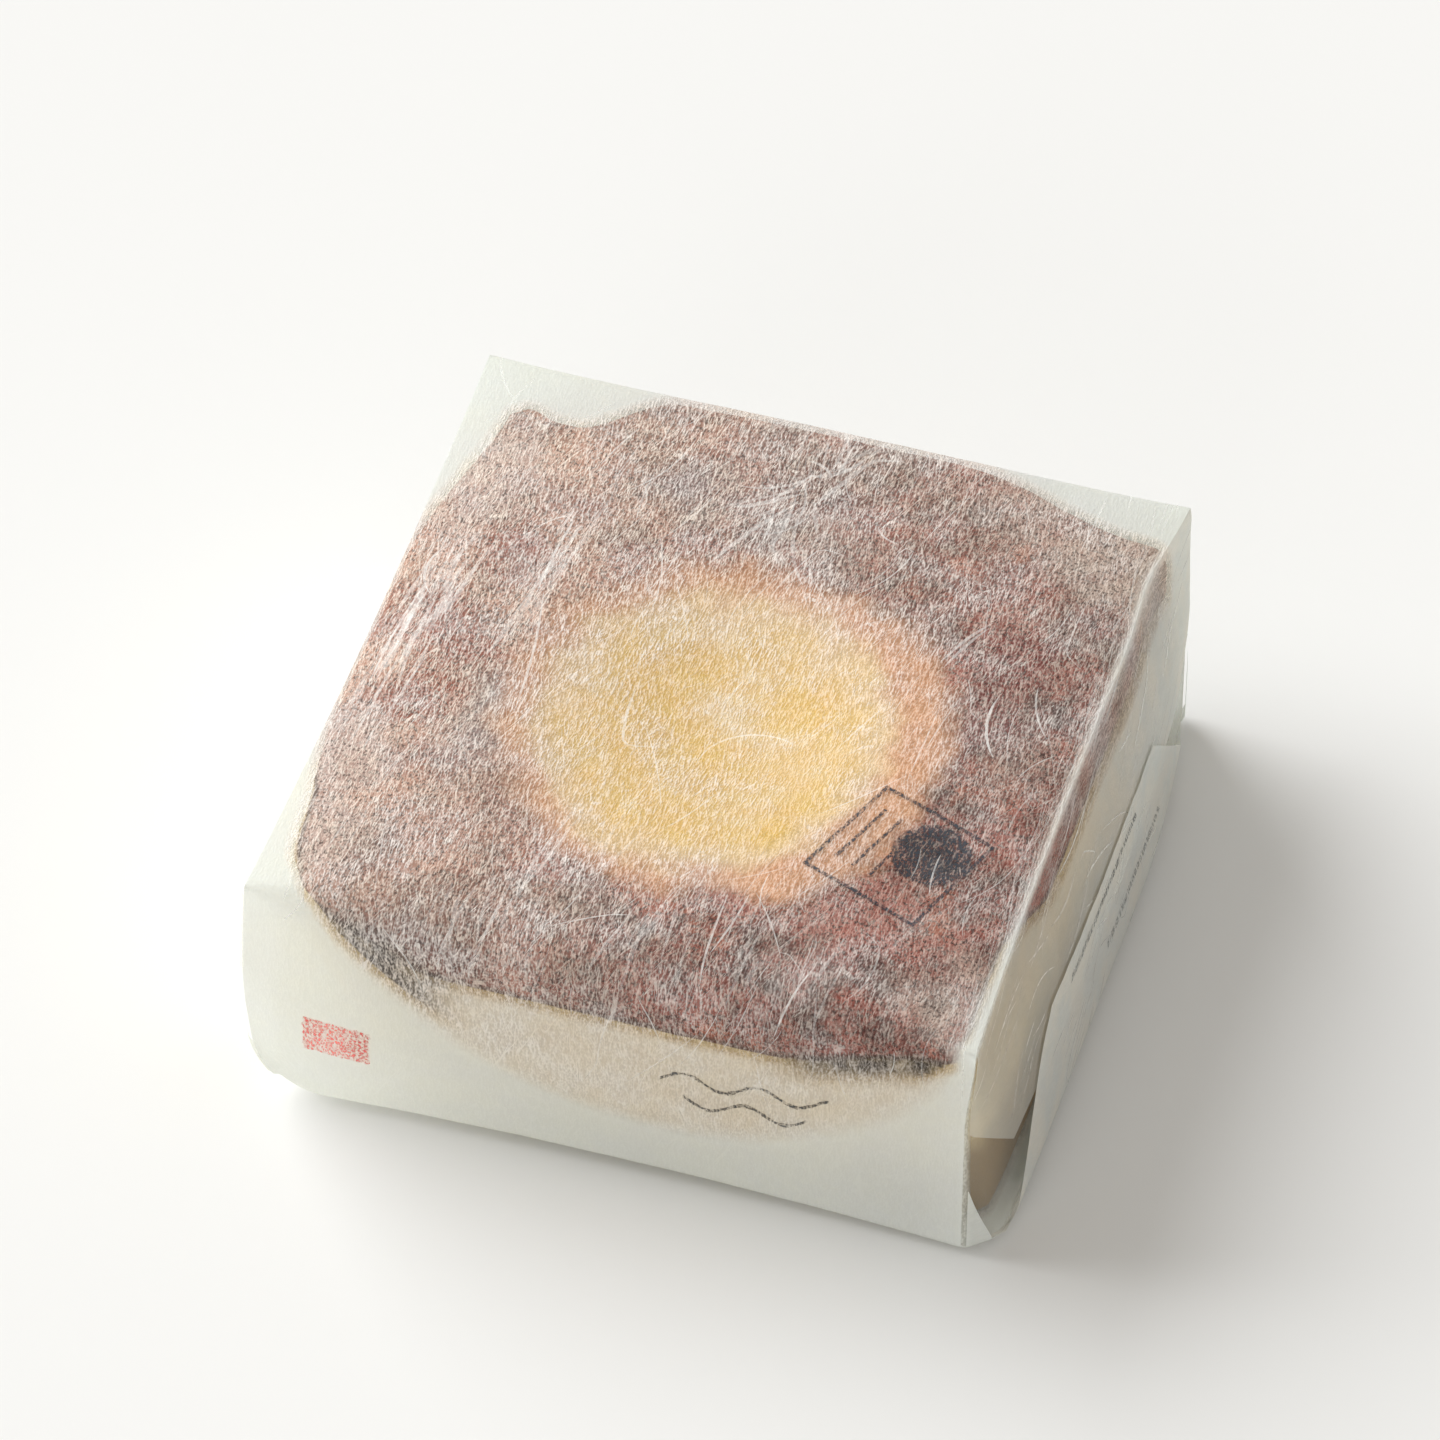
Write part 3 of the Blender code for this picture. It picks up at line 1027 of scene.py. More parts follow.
class Sheet(ABC):
    """One part of the folded paper, as a flat grid brought to its place on the pack."""

    PROBE = 0.0004
    RIPPLES = ((90, 0.00010), (260, 0.00004))

    def __init__(self, pack: PackForm, name: str, width: float, length: float) -> None:
        """Keeps the flat size of the sheet.

        Args:
            pack: The pack's form.
            name: Name of the piece.
            width: Size across the flat sheet.
            length: Size along it.
        """
        self.pack = pack
        self.name = name
        self.width = width
        self.length = length

    @abstractmethod
    def place(self, across: float, along: float) -> Vector:
        """Place of a point of the flat sheet, given by its distances from one corner."""

    @abstractmethod
    def flat_place(self, across: float, along: float) -> tuple[float, float]:
        """The same point on the whole unfolded sheet of paper."""

    def outward(self, across: float, along: float) -> Vector:
        """Direction that faces away from the cake.

        Args:
            across: Place across the flat sheet.
            along: Place along it.

        Returns:
            The direction, of length 1.
        """
        step = self.PROBE
        one_way = self.place(across + step, along) - self.place(across - step, along)
        other_way = self.place(across, along + step) - self.place(across, along - step)
        return one_way.cross(other_way).normalized()

    def ripple(self, across: float, along: float) -> float:
        """Small unevenness of the paper."""
        spot = Vector((across, along, len(self.name) * 0.11))
        return sum(noise.noise(spot * scale) * depth for scale, depth in self.RIPPLES)

    def build(self, step: float) -> bmesh.types.BMesh:
        """Folds a grid into place.

        Args:
            step: Size of a face.

        Returns:
            The sheet, with its unfolded places as a UV map.
        """
        columns, rows = (max(2, round(size / step)) for size in (self.width, self.length))
        builder = bmesh.new()
        bmesh.ops.create_grid(builder, x_segments=columns, y_segments=rows, size=0.5, calc_uvs=False)
        layer = builder.loops.layers.uv.new(SHEET_UV)
        for vert in builder.verts:
            across, along = (vert.co.x + 0.5) * self.width, (vert.co.y + 0.5) * self.length
            for loop in vert.link_loops:
                loop[layer].uv = self.flat_place(across, along)
            vert.co = self.place(across, along)
        for face in builder.faces:
            face.smooth = True
        return builder


class Sleeve(Sheet):
    """The sheet round the front, top and back, lapped under the base."""

    LAP_BACK = 0.014
    LAP_FRONT = -0.038
    LAP_THICKNESS = 0.00026
    LAP_HALF_LENGTH = 0.040
    LAP_EASE = 0.004
    CALM = 0.004

    def __init__(self, pack: PackForm) -> None:
        """Works out how much sheet each side takes.

        Args:
            pack: The pack's form.
        """
        self.under_front = pack.half_depth + self.LAP_BACK
        self.top_start = self.under_front + pack.height
        self.top_end = self.top_start + pack.depth
        self.under_back = self.top_end + pack.height
        super().__init__(pack, "sleeve", pack.width, self.under_back + pack.half_depth - self.LAP_FRONT)

    def plain(self, across: float, along: float) -> tuple[float, float, float]:
        """Wraps a point of the flat sheet round the plain box.

        Args:
            across: Place across the flat sheet.
            along: Place along it.

        Returns:
            The place X, Y, Z on the box.
        """
        pack = self.pack
        x = across - pack.half_width
        if along <= self.under_front:
            return x, self.LAP_BACK - along, 0.0
        if along <= self.top_start:
            return x, -pack.half_depth, along - self.under_front
        if along <= self.top_end:
            return x, along - self.top_start - pack.half_depth, pack.height
        if along <= self.under_back:
            return x, pack.half_depth, self.under_back - along
        return x, pack.half_depth - (along - self.under_back), 0.0

    def place(self, across: float, along: float) -> Vector:
        """Folds a point over the pack, with its outer lap under the inner one.

        Args:
            across: Place across the flat sheet.
            along: Place along it.

        Returns:
            The place on the pack.
        """
        pack = self.pack
        x, y, z = self.plain(across, along)
        place = pack.place(x, y, z)
        calm = smooth((pack.half_width - abs(x)) / self.CALM)
        if z == 0.0 and along > self.under_back:
            near_lap = smooth((self.LAP_BACK + self.LAP_EASE - y) / self.LAP_EASE)
            over = smooth((self.LAP_HALF_LENGTH + self.LAP_EASE - abs(x)) / self.LAP_EASE)
            place.z -= self.LAP_THICKNESS * near_lap * over
            return place
        if z == 0.0:
            return place
        inward = Vector((0.0, -y * (z < pack.height), -(z == pack.height) * pack.half_depth)).normalized()
        return place + inward * (abs(self.ripple(across, along)) * calm)

    def flat_place(self, across: float, along: float) -> tuple[float, float]:
        """The sleeve is the middle of the unfolded sheet."""
        return across - self.pack.half_width, along


class EndSheet(Sheet):
    """A part of the sheet that is folded over one end."""

    def __init__(self, pack: PackForm, end: End, name: str, width: float, length: float) -> None:
        """Keeps which end the part closes.

        Args:
            pack: The pack's form.
            end: The end.
            name: Name of the piece, without its end.
            width: Size across the flat part.
            length: Size along it.
        """
        super().__init__(pack, f"{end.name.lower()}_{name}", width, length)
        self.end = end
        self.sleeve = Sleeve(pack)

    @abstractmethod
    def outline(self, across: float, along: float) -> tuple[float, float, float]:
        """Lays a point on the end's plain face.

        Args:
            across: Place across the flat part.
            along: Place along it.

        Returns:
            Its place Y, Z, and how far it stands off the face.
        """

    def place(self, across: float, along: float) -> Vector:
        """Lays a point on the end.

        Args:
            across: Place across the flat part.
            along: Place along it.

        Returns:
            The place on the pack.
        """
        y, z, off = self.outline(across, along)
        place = self.pack.place(self.end.value * self.pack.half_width, y, z)
        place.x += self.end.value * off
        return place

    def narrowed(self, across: float, inset: float) -> float:
        """Place Y on a flap whose two sides draw in by an inset."""
        facing = (across - self.width / 2) * self.end.value
        return facing / (self.width / 2) * (self.pack.half_depth - inset)


class CornerSheet(EndSheet):
    """A part of an end that starts from one of its upright creases."""

    def __init__(self, pack: PackForm, end: End, face: Face, name: str, width: float, length: float) -> None:
        """Keeps which upright crease the part starts from.

        Args:
            pack: The pack's form.
            end: The end.
            face: The long side that the crease belongs to.
            name: Name of the piece, without its end and side.
            width: Size across the flat part.
            length: Size along it.
        """
        super().__init__(pack, end, f"{face.name.lower()}_{name}", width, length)
        self.face = face

    def inwards(self, across: float) -> float:
        """Distance from the upright crease."""
        return across if self.end.value * self.face.value < 0 else self.width - across


class Tab(CornerSheet):
    """A side tab, folded in first from the front or the back."""

    REACH = 0.036
    GAP = 0.0002
    LEAVING = 0.006
    SUNK = 0.0006
    SUNK_RUN = 0.004

    def __init__(self, pack: PackForm, end: End, face: Face) -> None:
        """Takes the full height of the long side."""
        super().__init__(pack, end, face, "tab", self.REACH, pack.height)

    def outline(self, across: float, along: float) -> tuple[float, float, float]:
        """Runs the tab from its upright crease towards the middle of the end.

        Args:
            across: Place across the flat tab.
            along: Place along it.

        Returns:
            Its place Y, Z, and how far it stands off the face.
        """
        inwards = self.inwards(across)
        y = self.face.value * (self.pack.half_depth - inwards)
        inner = smooth(inwards / self.LEAVING)
        sunk = self.SUNK * smooth(along / self.SUNK_RUN) * smooth((self.pack.height - along) / self.SUNK_RUN)
        return y, along, -inner * (self.GAP + sunk)

    def flat_place(self, across: float, along: float) -> tuple[float, float]:
        """Goes on from the front or back of the sleeve.

        Args:
            across: Place across the flat tab.
            along: Place along it.

        Returns:
            The same point on the unfolded sheet.
        """
        x = self.end.value * (self.pack.half_width + self.inwards(across))
        if self.face is Face.FRONT:
            return x, self.sleeve.under_front + along
        return x, self.sleeve.under_back - along


class TopFlap(EndSheet):
    """The flap that hangs from the end crease, drawn in below the gussets."""

    DROP = 0.0270
    GUSSET_DROP = 0.0165
    INSET = 0.0003
    INSET_RUN = 0.004
    STAND_OFF = 0.0003
    LEAVING = 0.0014
    CALM = 0.005

    def __init__(self, pack: PackForm, end: End) -> None:
        """Spans the whole end crease."""
        super().__init__(pack, end, "top_flap", pack.depth, self.DROP)

    def outline(self, across: float, along: float) -> tuple[float, float, float]:
        """Narrows the flap at 45 degrees below the gussets and springs its free edge a little.

        Args:
            across: Place across the flat flap.
            along: Place along it, from its free edge.

        Returns:
            Its place Y, Z, and how far it stands off the face.
        """
        drop = self.length - along
        inset = self.INSET * smooth(drop / self.INSET_RUN) + max(0.0, drop - self.GUSSET_DROP)
        off = self.STAND_OFF * smooth(drop / self.LEAVING)
        off += self.ripple(across, along) * smooth(drop / self.CALM)
        return self.narrowed(across, inset), self.pack.height - drop, off

    def flat_place(self, across: float, along: float) -> tuple[float, float]:
        """Goes on from the top of the sleeve.

        Args:
            across: Place across the flat flap.
            along: Place along it.

        Returns:
            The same point on the unfolded sheet.
        """
        y, z, _off = self.outline(across, along)
        pack, drop = self.pack, self.pack.height - z
        return self.end.value * (pack.half_width + drop), self.sleeve.top_start + pack.half_depth + y


class Gusset(CornerSheet):
    """The doubled triangle at a lower corner, where the bottom flap turns in."""

    RISE = 0.0125
    REACH = 0.0028
    INSET = 0.0002
    STAND_OFF = 0.0004
    LEAVING = 0.002
    POINT = 0.04
    FLAT_SHIFT = 0.9

    def __init__(self, pack: PackForm, end: End, face: Face) -> None:
        """Takes a low triangle at the foot of the crease."""
        super().__init__(pack, end, face, "gusset", self.REACH, self.RISE)

    def outline(self, across: float, along: float) -> tuple[float, float, float]:
        """Stands the triangle on the base, with its point on the upright crease.

        Args:
            across: Place across the flat triangle.
            along: Place along it.

        Returns:
            Its place Y, Z, and how far it stands off the face.
        """
        left_over = 1 - along / self.length * (1 - self.POINT)
        y = self.face.value * (self.pack.half_depth - self.INSET - self.inwards(across) * left_over)
        return y, along, self.STAND_OFF * smooth(along / self.LEAVING)

    def flat_place(self, across: float, along: float) -> tuple[float, float]:
        """The triangle is part of the corner square of the unfolded sheet."""
        y, z, _off = self.outline(across, along)
        return self.end.value * (self.pack.half_width + z), y + self.FLAT_SHIFT


class BottomFlap(EndSheet):
    """The outermost flap, folded up from the base and narrowing all the way."""

    RISE = 0.0215
    INSET = 0.0060
    INSET_RUN = 0.0015
    STAND_OFF = 0.0005
    SPRING = 0.0002
    LEAVING = 0.0030
    CALM = 0.004
    FLAT_SHIFT = 0.6

    def __init__(self, pack: PackForm, end: End) -> None:
        """Spans the foot of the end."""
        super().__init__(pack, end, "bottom_flap", pack.depth, self.RISE)

    def outline(self, across: float, along: float) -> tuple[float, float, float]:
        """Narrows the flap at 45 degrees and springs its free edge out.

        Args:
            across: Place across the flat flap.
            along: Place along it, from the base.

        Returns:
            Its place Y, Z, and how far it stands off the face.
        """
        inset = self.INSET * smooth(along / self.INSET_RUN) + along
        away = along / self.length
        off = self.STAND_OFF * smooth(along / self.LEAVING) + self.SPRING * away ** 2
        off += self.ripple(across, along) * smooth(along / self.CALM)
        return self.narrowed(across, inset), along, off

    def flat_place(self, across: float, along: float) -> tuple[float, float]:
        """The flap goes on from the base of the sleeve."""
        y, z, _off = self.outline(across, along)
        return self.end.value * (self.pack.half_width + z), y + self.FLAT_SHIFT


@dataclass(frozen=True)
class Castella:
    """The cake: a soft square with pinched back corners, its top skin folded over the rim."""

    pack: PackForm
    columns: int = 110
    rows: int = 115
    tiers: int = 40
    clearance: float = 0.00030
    front_left_corner: float = 0.0120
    front_left_draw: float = 0.0026
    front_left_start: float = -0.0120
    front_left_run: float = 0.0360
    back_left_side_draw: float = 0.0055
    back_left_side_start: float = 0.0130
    back_left_side_run: float = 0.0360
    front_right_corner: float = 0.0035
    back_left_corner: float = 0.0050
    back_right_corner: float = 0.0050
    top_radius_ends: float = 0.0030
    top_radius_left: float = 0.0012
    back_top_extra: float = 0.001
    least_over_cake: float = 0.30
    base_radius: float = 0.0070
    right_base_radius: float = 0.0020
    back_left_draw: float = 0.0098
    back_left_start: float = -0.0225
    back_left_run: float = 0.0130
    ear: float = 0.0026
    ear_place: float = -0.0450
    ear_spread: float = 0.0045
    sheet_ear_share: float = 0.4
    swelling_share: float = 0.7
    back_right_draw: float = 0.0072
    back_right_start: float = 0.0190
    back_right_run: float = 0.0260
    line_foot: float = 0.0140
    line_middle: float = 0.0080
    left_climb: float = 0.0263
    left_reach: float = 0.0513
    right_climb: float = 0.0231
    right_reach: float = 0.0394
    end_line_foot: float = 0.0120
    end_climb: float = 0.0120
    overhang: float = 0.0008
    overhang_run: float = 0.0015
    end_overhang: float = 0.0012
    end_overhang_run: float = 0.0020
    undercut: float = 0.0120
    right_undercut: float = 0.0008
    corner_undercut: float = 0.0045
    corner_start: float = 0.0200
    corner_run: float = 0.0220
    undercut_depth: float = 0.0300
    face_power: int = 5
    crust_foot: float = 0.0308
    crust_climb: float = 0.0084
    right_crust_climb: float = 0.0056
    end_crust_foot: float = 0.0325
    end_crust_climb: float = 0.0080
    end_climb_start: float = 0.0140
    end_climb_run: float = 0.0200
    crust_start: float = 0.0210
    crust_run: float = 0.0260
    heart_x: float = -0.0004
    heart_y: float = -0.0070
    heart_stretch: float = 0.91
    heart_sink: float = 0.00045
    heart_radius: float = 0.0280
    heart_ease: float = 0.012
    lump: float = 0.00055
    lump_shares: tuple[tuple[float, float], ...] = ((95, 0.75), (230, 0.35))
    lump_slice: float = 0.3
    top_power: int = 6
    dip: float = 0.0003
    dip_start: float = 0.0330
    dip_run: float = 0.0160
    scorch_start: float = 0.66
    scorch_ease: float = 0.0015
    scorch_over_top: float = 0.001
    scorch_top_ease: float = 0.004
    wedge_height: float = 0.0098
    wedge_ease: float = 0.003
    wedge_start: float = 0.0180
    wedge_run: float = 0.012
    band_over_edge: float = 0.0012
    band_height: float = 0.0070
    band_ease: float = 0.0045
    band_start: float = 0.0190
    band_run: float = 0.014

    def side_line(self, face: Face, x: float) -> float:
        """Height on a long side above which the cake touches the paper.

        Args:
            face: The side.
            x: Place along the width.

        Returns:
            The height over the base.
        """
        off = x - self.line_middle * (face is Face.FRONT)
        climb, reach = (self.left_climb, self.left_reach) if off < 0 else (self.right_climb, self.right_reach)
        if face is Face.BACK:
            reach = self.left_reach
        return self.line_foot + climb * (abs(off) / reach) ** 2

    def end_line(self, y: float) -> float:
        """Height on an end above which the cake touches the paper."""
        return self.end_line_foot + self.end_climb * (abs(y) / self.pack.half_depth) ** 2

    def crust_line(self, along: float, on_end: bool = False) -> float:
        """Height of the lower edge of the skin on a side.

        Args:
            along: Place along the side.
            on_end: True for an end, False for a long side.

        Returns:
            The height over the base.
        """
        if on_end:
            front_climb = smooth((-along - self.end_climb_start) / self.end_climb_run)
            return self.end_crust_foot + self.end_crust_climb * front_climb
        climb = self.crust_climb if along < 0 else self.right_crust_climb
        return self.crust_foot + climb * smooth((abs(along) - self.crust_start) / self.crust_run)

    def drawn_in(self, x: float, y: float) -> float:
        """How far the back edge draws in beside the corners.

        Args:
            x: Place along the width.
            y: Place along the depth.

        Returns:
            The distance in metres.
        """
        if y < 0:
            return 0.0
        left = self.back_left_draw * smooth((self.back_left_start - x) / self.back_left_run)
        left -= self.ear * hump(x, self.ear_place, self.ear_spread)
        right = self.back_right_draw * smooth((x - self.back_right_start) / self.back_right_run)
        return max(0.0, left) + right

    def from_heart(self, x: float, y: float) -> float:
        """Distance from the middle of the yellow heart, which is a little longer than wide."""
        return math.hypot(x - self.heart_x, (y - self.heart_y) * self.heart_stretch)

    def corner_radius(self, x: float, y: float) -> float:
        """Radius of the upright corner nearest to a point."""
        if y < 0:
            return self.front_left_corner if x < 0 else self.front_right_corner
        return self.back_left_corner if x < 0 else self.back_right_corner

    def at_corner(self, x: float) -> float:
        """0 along most of the width, easing to 1 at the right end."""
        return smooth((x - self.corner_start) / self.corner_run)

    def rounded(self, x: float, y: float, z: float) -> tuple[float, float, float]:
        """Rounds the corners and edges of the plain cake.

        Args:
            x: Place along the width.
            y: Place along the depth.
            z: Height over the base.

        Returns:
            The point with its edges rounded.
        """
        pack = self.pack
        side_x, side_y = math.copysign(1, x), math.copysign(1, y)
        inside_x, inside_y = round_edge(
            pack.half_width - abs(x), pack.half_depth - abs(y), self.corner_radius(x, y))
        over_cake = max(self.least_over_cake, 1 - (x / pack.half_width) ** pack.plateau_power)
        radius = pack.front_top_radius * over_cake if y < 0 else pack.back_top_radius + self.back_top_extra
        above, inside_y = round_edge(pack.height - z, inside_y, radius)
        above, inside_x = round_edge(above, inside_x, self.top_radius_left if x < 0 else self.top_radius_ends)
        z = pack.height - above
        base_radius = self.base_radius + (self.right_base_radius - self.base_radius) * self.at_corner(x)
        z, inside_y = round_edge(z, inside_y, base_radius)
        z, inside_x = round_edge(z, inside_x, self.base_radius if x < 0 else self.right_base_radius)
        return side_x * (pack.half_width - inside_x), side_y * (pack.half_depth - inside_y), z

    def end_gap(self, x: float, y: float, z: float) -> float:
        """Gap between an end of the cake and the plain form of the pack.

        Args:
            x: Place along the width.
            y: Place along the depth.
            z: Height over the base.

        Returns:
            The gap in metres.
        """
        pack = self.pack
        undercut = self.undercut if x < 0 else self.right_undercut
        gap = self.clearance + undercut * smooth((self.end_line(y) - z) / self.undercut_depth)
        if x > 0:
            ear = hump(y / pack.half_depth, pack.ear_place, pack.ear_spread)
            gap += pack.ear_tuck * self.sheet_ear_share * ear
        if x < 0:
            gap += self.front_left_draw * smooth((self.front_left_start - y) / self.front_left_run)
            back = smooth((y - self.back_left_side_start) / self.back_left_side_run)
            gap += self.back_left_side_draw * back
        return gap + self.end_overhang * smooth((self.crust_line(y, True) - z) / self.end_overhang_run)

    def side_gap(self, x: float, y: float, z: float) -> float:
        """Gap between a long side of the cake and the plain form of the pack.

        Args:
            x: Place along the width.
            y: Place along the depth.
            z: Height over the base.

        Returns:
            The gap in metres.
        """
        below_line = self.side_line(Face.FRONT if y < 0 else Face.BACK, x) - z
        undercut = self.undercut + (self.corner_undercut - self.undercut) * self.at_corner(x)
        gap = self.clearance + undercut * smooth(below_line / self.undercut_depth) + self.drawn_in(x, y)
        under_skin = smooth((self.crust_line(x) - z) / self.overhang_run) * (1 - self.scorch(x, y, z))
        return gap + self.overhang * under_skin

    def settled(self, x: float, y: float, z: float) -> Vector:
        """Takes a point of the plain box to its place on the cake.

        Args:
            x: Place along the width.
            y: Place along the depth.
            z: Height over the base.

        Returns:
            The place in the part's frame.
        """
        pack = self.pack
        rx, ry, rz = self.rounded(x, y, z)
        place = pack.bulged(rx, ry, rz, self.swelling_share)
        place.x -= math.copysign(self.end_gap(x, y, z), x) * abs(rx / pack.half_width) ** self.face_power
        place.y -= math.copysign(self.side_gap(x, y, z), y) * abs(ry / pack.half_depth) ** self.face_power
        w = rz / pack.height
        heart = smooth((self.heart_radius - self.from_heart(x, y)) / self.heart_ease)
        sink = self.clearance + self.heart_sink * heart
        spot = Vector((x, y, self.lump_slice))
        lumps = max(0.0, sum(noise.noise(spot * scale) * share for scale, share in self.lump_shares))
        place.z -= (sink + self.lump * lumps) * w ** self.top_power
        dip = smooth((x - self.dip_start) / self.dip_run) * smooth((-y - self.dip_start) / self.dip_run)
        place.z -= self.dip * dip * w ** self.top_power
        place.z += self.clearance * (1 - w)
        return place

    def scorch(self, x: float, y: float, z: float) -> float:
        """How dark the singed skin is: a wedge beside the front left corner and a band to the right.

        Args:
            x: Place along the width.
            y: Place along the depth.
            z: Height over the base.

        Returns:
            0 for plain skin to 1 for the darkest.
        """
        if y > -self.pack.half_depth * self.scorch_start:
            return 0.0
        over_line = z - self.side_line(Face.FRONT, x)
        under_top = self.pack.height + self.scorch_over_top - z
        shade = smooth((over_line + self.scorch_ease) / self.scorch_ease)
        shade *= smooth(under_top / self.scorch_top_ease)
        if x < 0:
            shade *= smooth((self.wedge_height - over_line) / self.wedge_ease)
            return shade * smooth((-x - self.wedge_start) / self.wedge_run)
        under_edge = self.crust_line(x) + self.band_over_edge - z
        shade *= smooth(under_edge / self.scorch_ease)
        shade *= smooth((self.band_height - under_edge) / self.band_ease)
        return shade * smooth((x - self.band_start) / self.band_run)

    def build(self) -> tuple[bmesh.types.BMesh, dict[str, list[float]]]:
        """Makes the cake from a finely cut cube.

        Returns:
            The mesh, and its fields for each vertex: height over the skin's edge and distance from the
            heart's middle in millimetres, and scorching.
        """
        pack = self.pack
        builder = bmesh.new()
        bmesh.ops.create_cube(builder, size=2.0)
        for axis, faces in enumerate((self.columns, self.rows, self.tiers)):
            cut_along(builder, axis, faces - 1)
        fields: dict[str, list[float]] = {"crust": [], "heart": [], "scorch": []}
        for vert in builder.verts:
            x, y = vert.co.x * pack.half_width, vert.co.y * pack.half_depth
            z = (vert.co.z + 1) / 2 * pack.height
            from_end, from_side = pack.half_width - abs(x), pack.half_depth - abs(y)
            on_top = min(from_end, from_side) if z > pack.height - TINY else 0.0
            on_end = from_side > from_end
            line = self.crust_line(y if on_end else x, on_end)
            vert.co = self.settled(x, y, z)
            fields["crust"].append((z + on_top - line) * MM)
            fields["heart"].append(self.from_heart(x, y) * MM)
            fields["scorch"].append(self.scorch(x, y, z))
        for face in builder.faces:
            face.smooth = True
        bmesh.ops.recalc_face_normals(builder, faces=builder.faces)
        return builder, fields


def cut_along(builder: bmesh.types.BMesh, axis: int, cuts: int) -> None:
    """Cuts every edge of a box that runs along one axis into even pieces.

    Args:
        builder: The box.
        axis: 0, 1 or 2 for X, Y or Z.
        cuts: How many cuts.
    """
    others = [other for other in range(3) if other != axis]
    edges = [
        edge for edge in builder.edges
        if all(abs(edge.verts[0].co[other] - edge.verts[1].co[other]) < TINY for other in others)]
    bmesh.ops.subdivide_edges(builder, edges=edges, cuts=cuts, use_grid_fill=True)


@dataclass(frozen=True)
class Thread:
    """One long fibre as it lies on a sheet."""

    across: float
    along: float
    heading: float
    length: float
    bend: float
    hook: float
    width: float
    strength: float
    hook_start: float = 0.62
    hook_run: float = 0.2

    def path(self, steps: int) -> list[tuple[float, float, float]]:
        """Points along the fibre.

        Args:
            steps: Number of pieces.

        Returns:
            Across, along and heading at each point.
        """
        points: list[tuple[float, float, float]] = []
        across, along = self.across, self.along
        for index in range(steps + 1):
            share = index / steps
            turn = self.heading + self.bend * (share - 0.5)
            turn += self.hook * smooth((share - self.hook_start) / self.hook_run)
            points.append((across, along, turn))
            across += math.sin(turn) * self.length / steps
            along += math.cos(turn) * self.length / steps
        return points


@dataclass(frozen=True)
class Threads:
    """Long fibres on one sheet: some laid by their places, the others scattered over a window.

    The window is given as the least and the greatest place across the sheet, then along it.
    """

    sheet: Sheet
    name: str
    scattered: int
    window: tuple[float, float, float, float]
    seed: int = 5
    laid: tuple[Thread, ...] = ()
    steps: int = 14
    lift: float = 0.00007
    margin: float = 0.0005
    tip: float = 0.15
    length: tuple[float, float] = (0.005, 0.017)
    lean: float = 0.10
    stray: float = 0.34
    curl: float = 0.45
    hooked: float = 0.16
    hook: float = 1.2
    width: tuple[float, float] = (0.00011, 0.00024)
    strength: tuple[float, float] = (0.3, 0.75)

    def scatter(self) -> list[Thread]:
        """Draws the unplaced fibres.

        Returns:
            The fibres, the same ones each time.
        """
        chance = random.Random(self.seed)
        low_a, high_a, low_b, high_b = self.window
        return [Thread(
            across=chance.uniform(low_a, high_a), along=chance.uniform(low_b, high_b),
            heading=chance.gauss(self.lean, self.stray) + (math.pi if chance.random() < 0.5 else 0.0),
            length=chance.uniform(*self.length), bend=chance.gauss(0.0, self.curl),
            hook=chance.gauss(0.0, self.hook) if chance.random() < self.hooked else 0.0,
            width=chance.uniform(*self.width), strength=chance.uniform(*self.strength))
            for _index in range(self.scattered)]

    def build(self) -> tuple[bmesh.types.BMesh, dict[str, list[float]]]:
        """Lays every fibre as a thin tapered ribbon.

        Returns:
            The mesh and each vertex's strength.
        """
        builder = bmesh.new()
        strengths: list[float] = []
        sheet = self.sheet
        for thread in (*self.laid, *self.scatter()):
            path = thread.path(self.steps)
            made = bmesh.ops.create_grid(builder, x_segments=self.steps, y_segments=1, size=0.5)
            for vert in made["verts"]:
                share = vert.co.x + 0.5
                across, along, turn = path[round(share * self.steps)]
                taper = (1 - abs(2 * share - 1) ** 3) * (1 - self.tip) + self.tip
                aside = -vert.co.y * thread.width * taper
                across += math.cos(turn) * aside
                along -= math.sin(turn) * aside
                across = min(max(across, self.margin), sheet.width - self.margin)
                along = min(max(along, self.margin), sheet.length - self.margin)
                vert.co = sheet.place(across, along) + sheet.outward(across, along) * self.lift
                strengths.append(thread.strength)
        return builder, {"strength": strengths}


@dataclass(frozen=True)
class Wisps(Threads):
    """Broad faint fibres that lie close together and nearly straight."""

    lean: float = 0.12
    curl: float = 0.2
    hooked: float = 0.0
    width: tuple[float, float] = (0.0002, 0.0008)


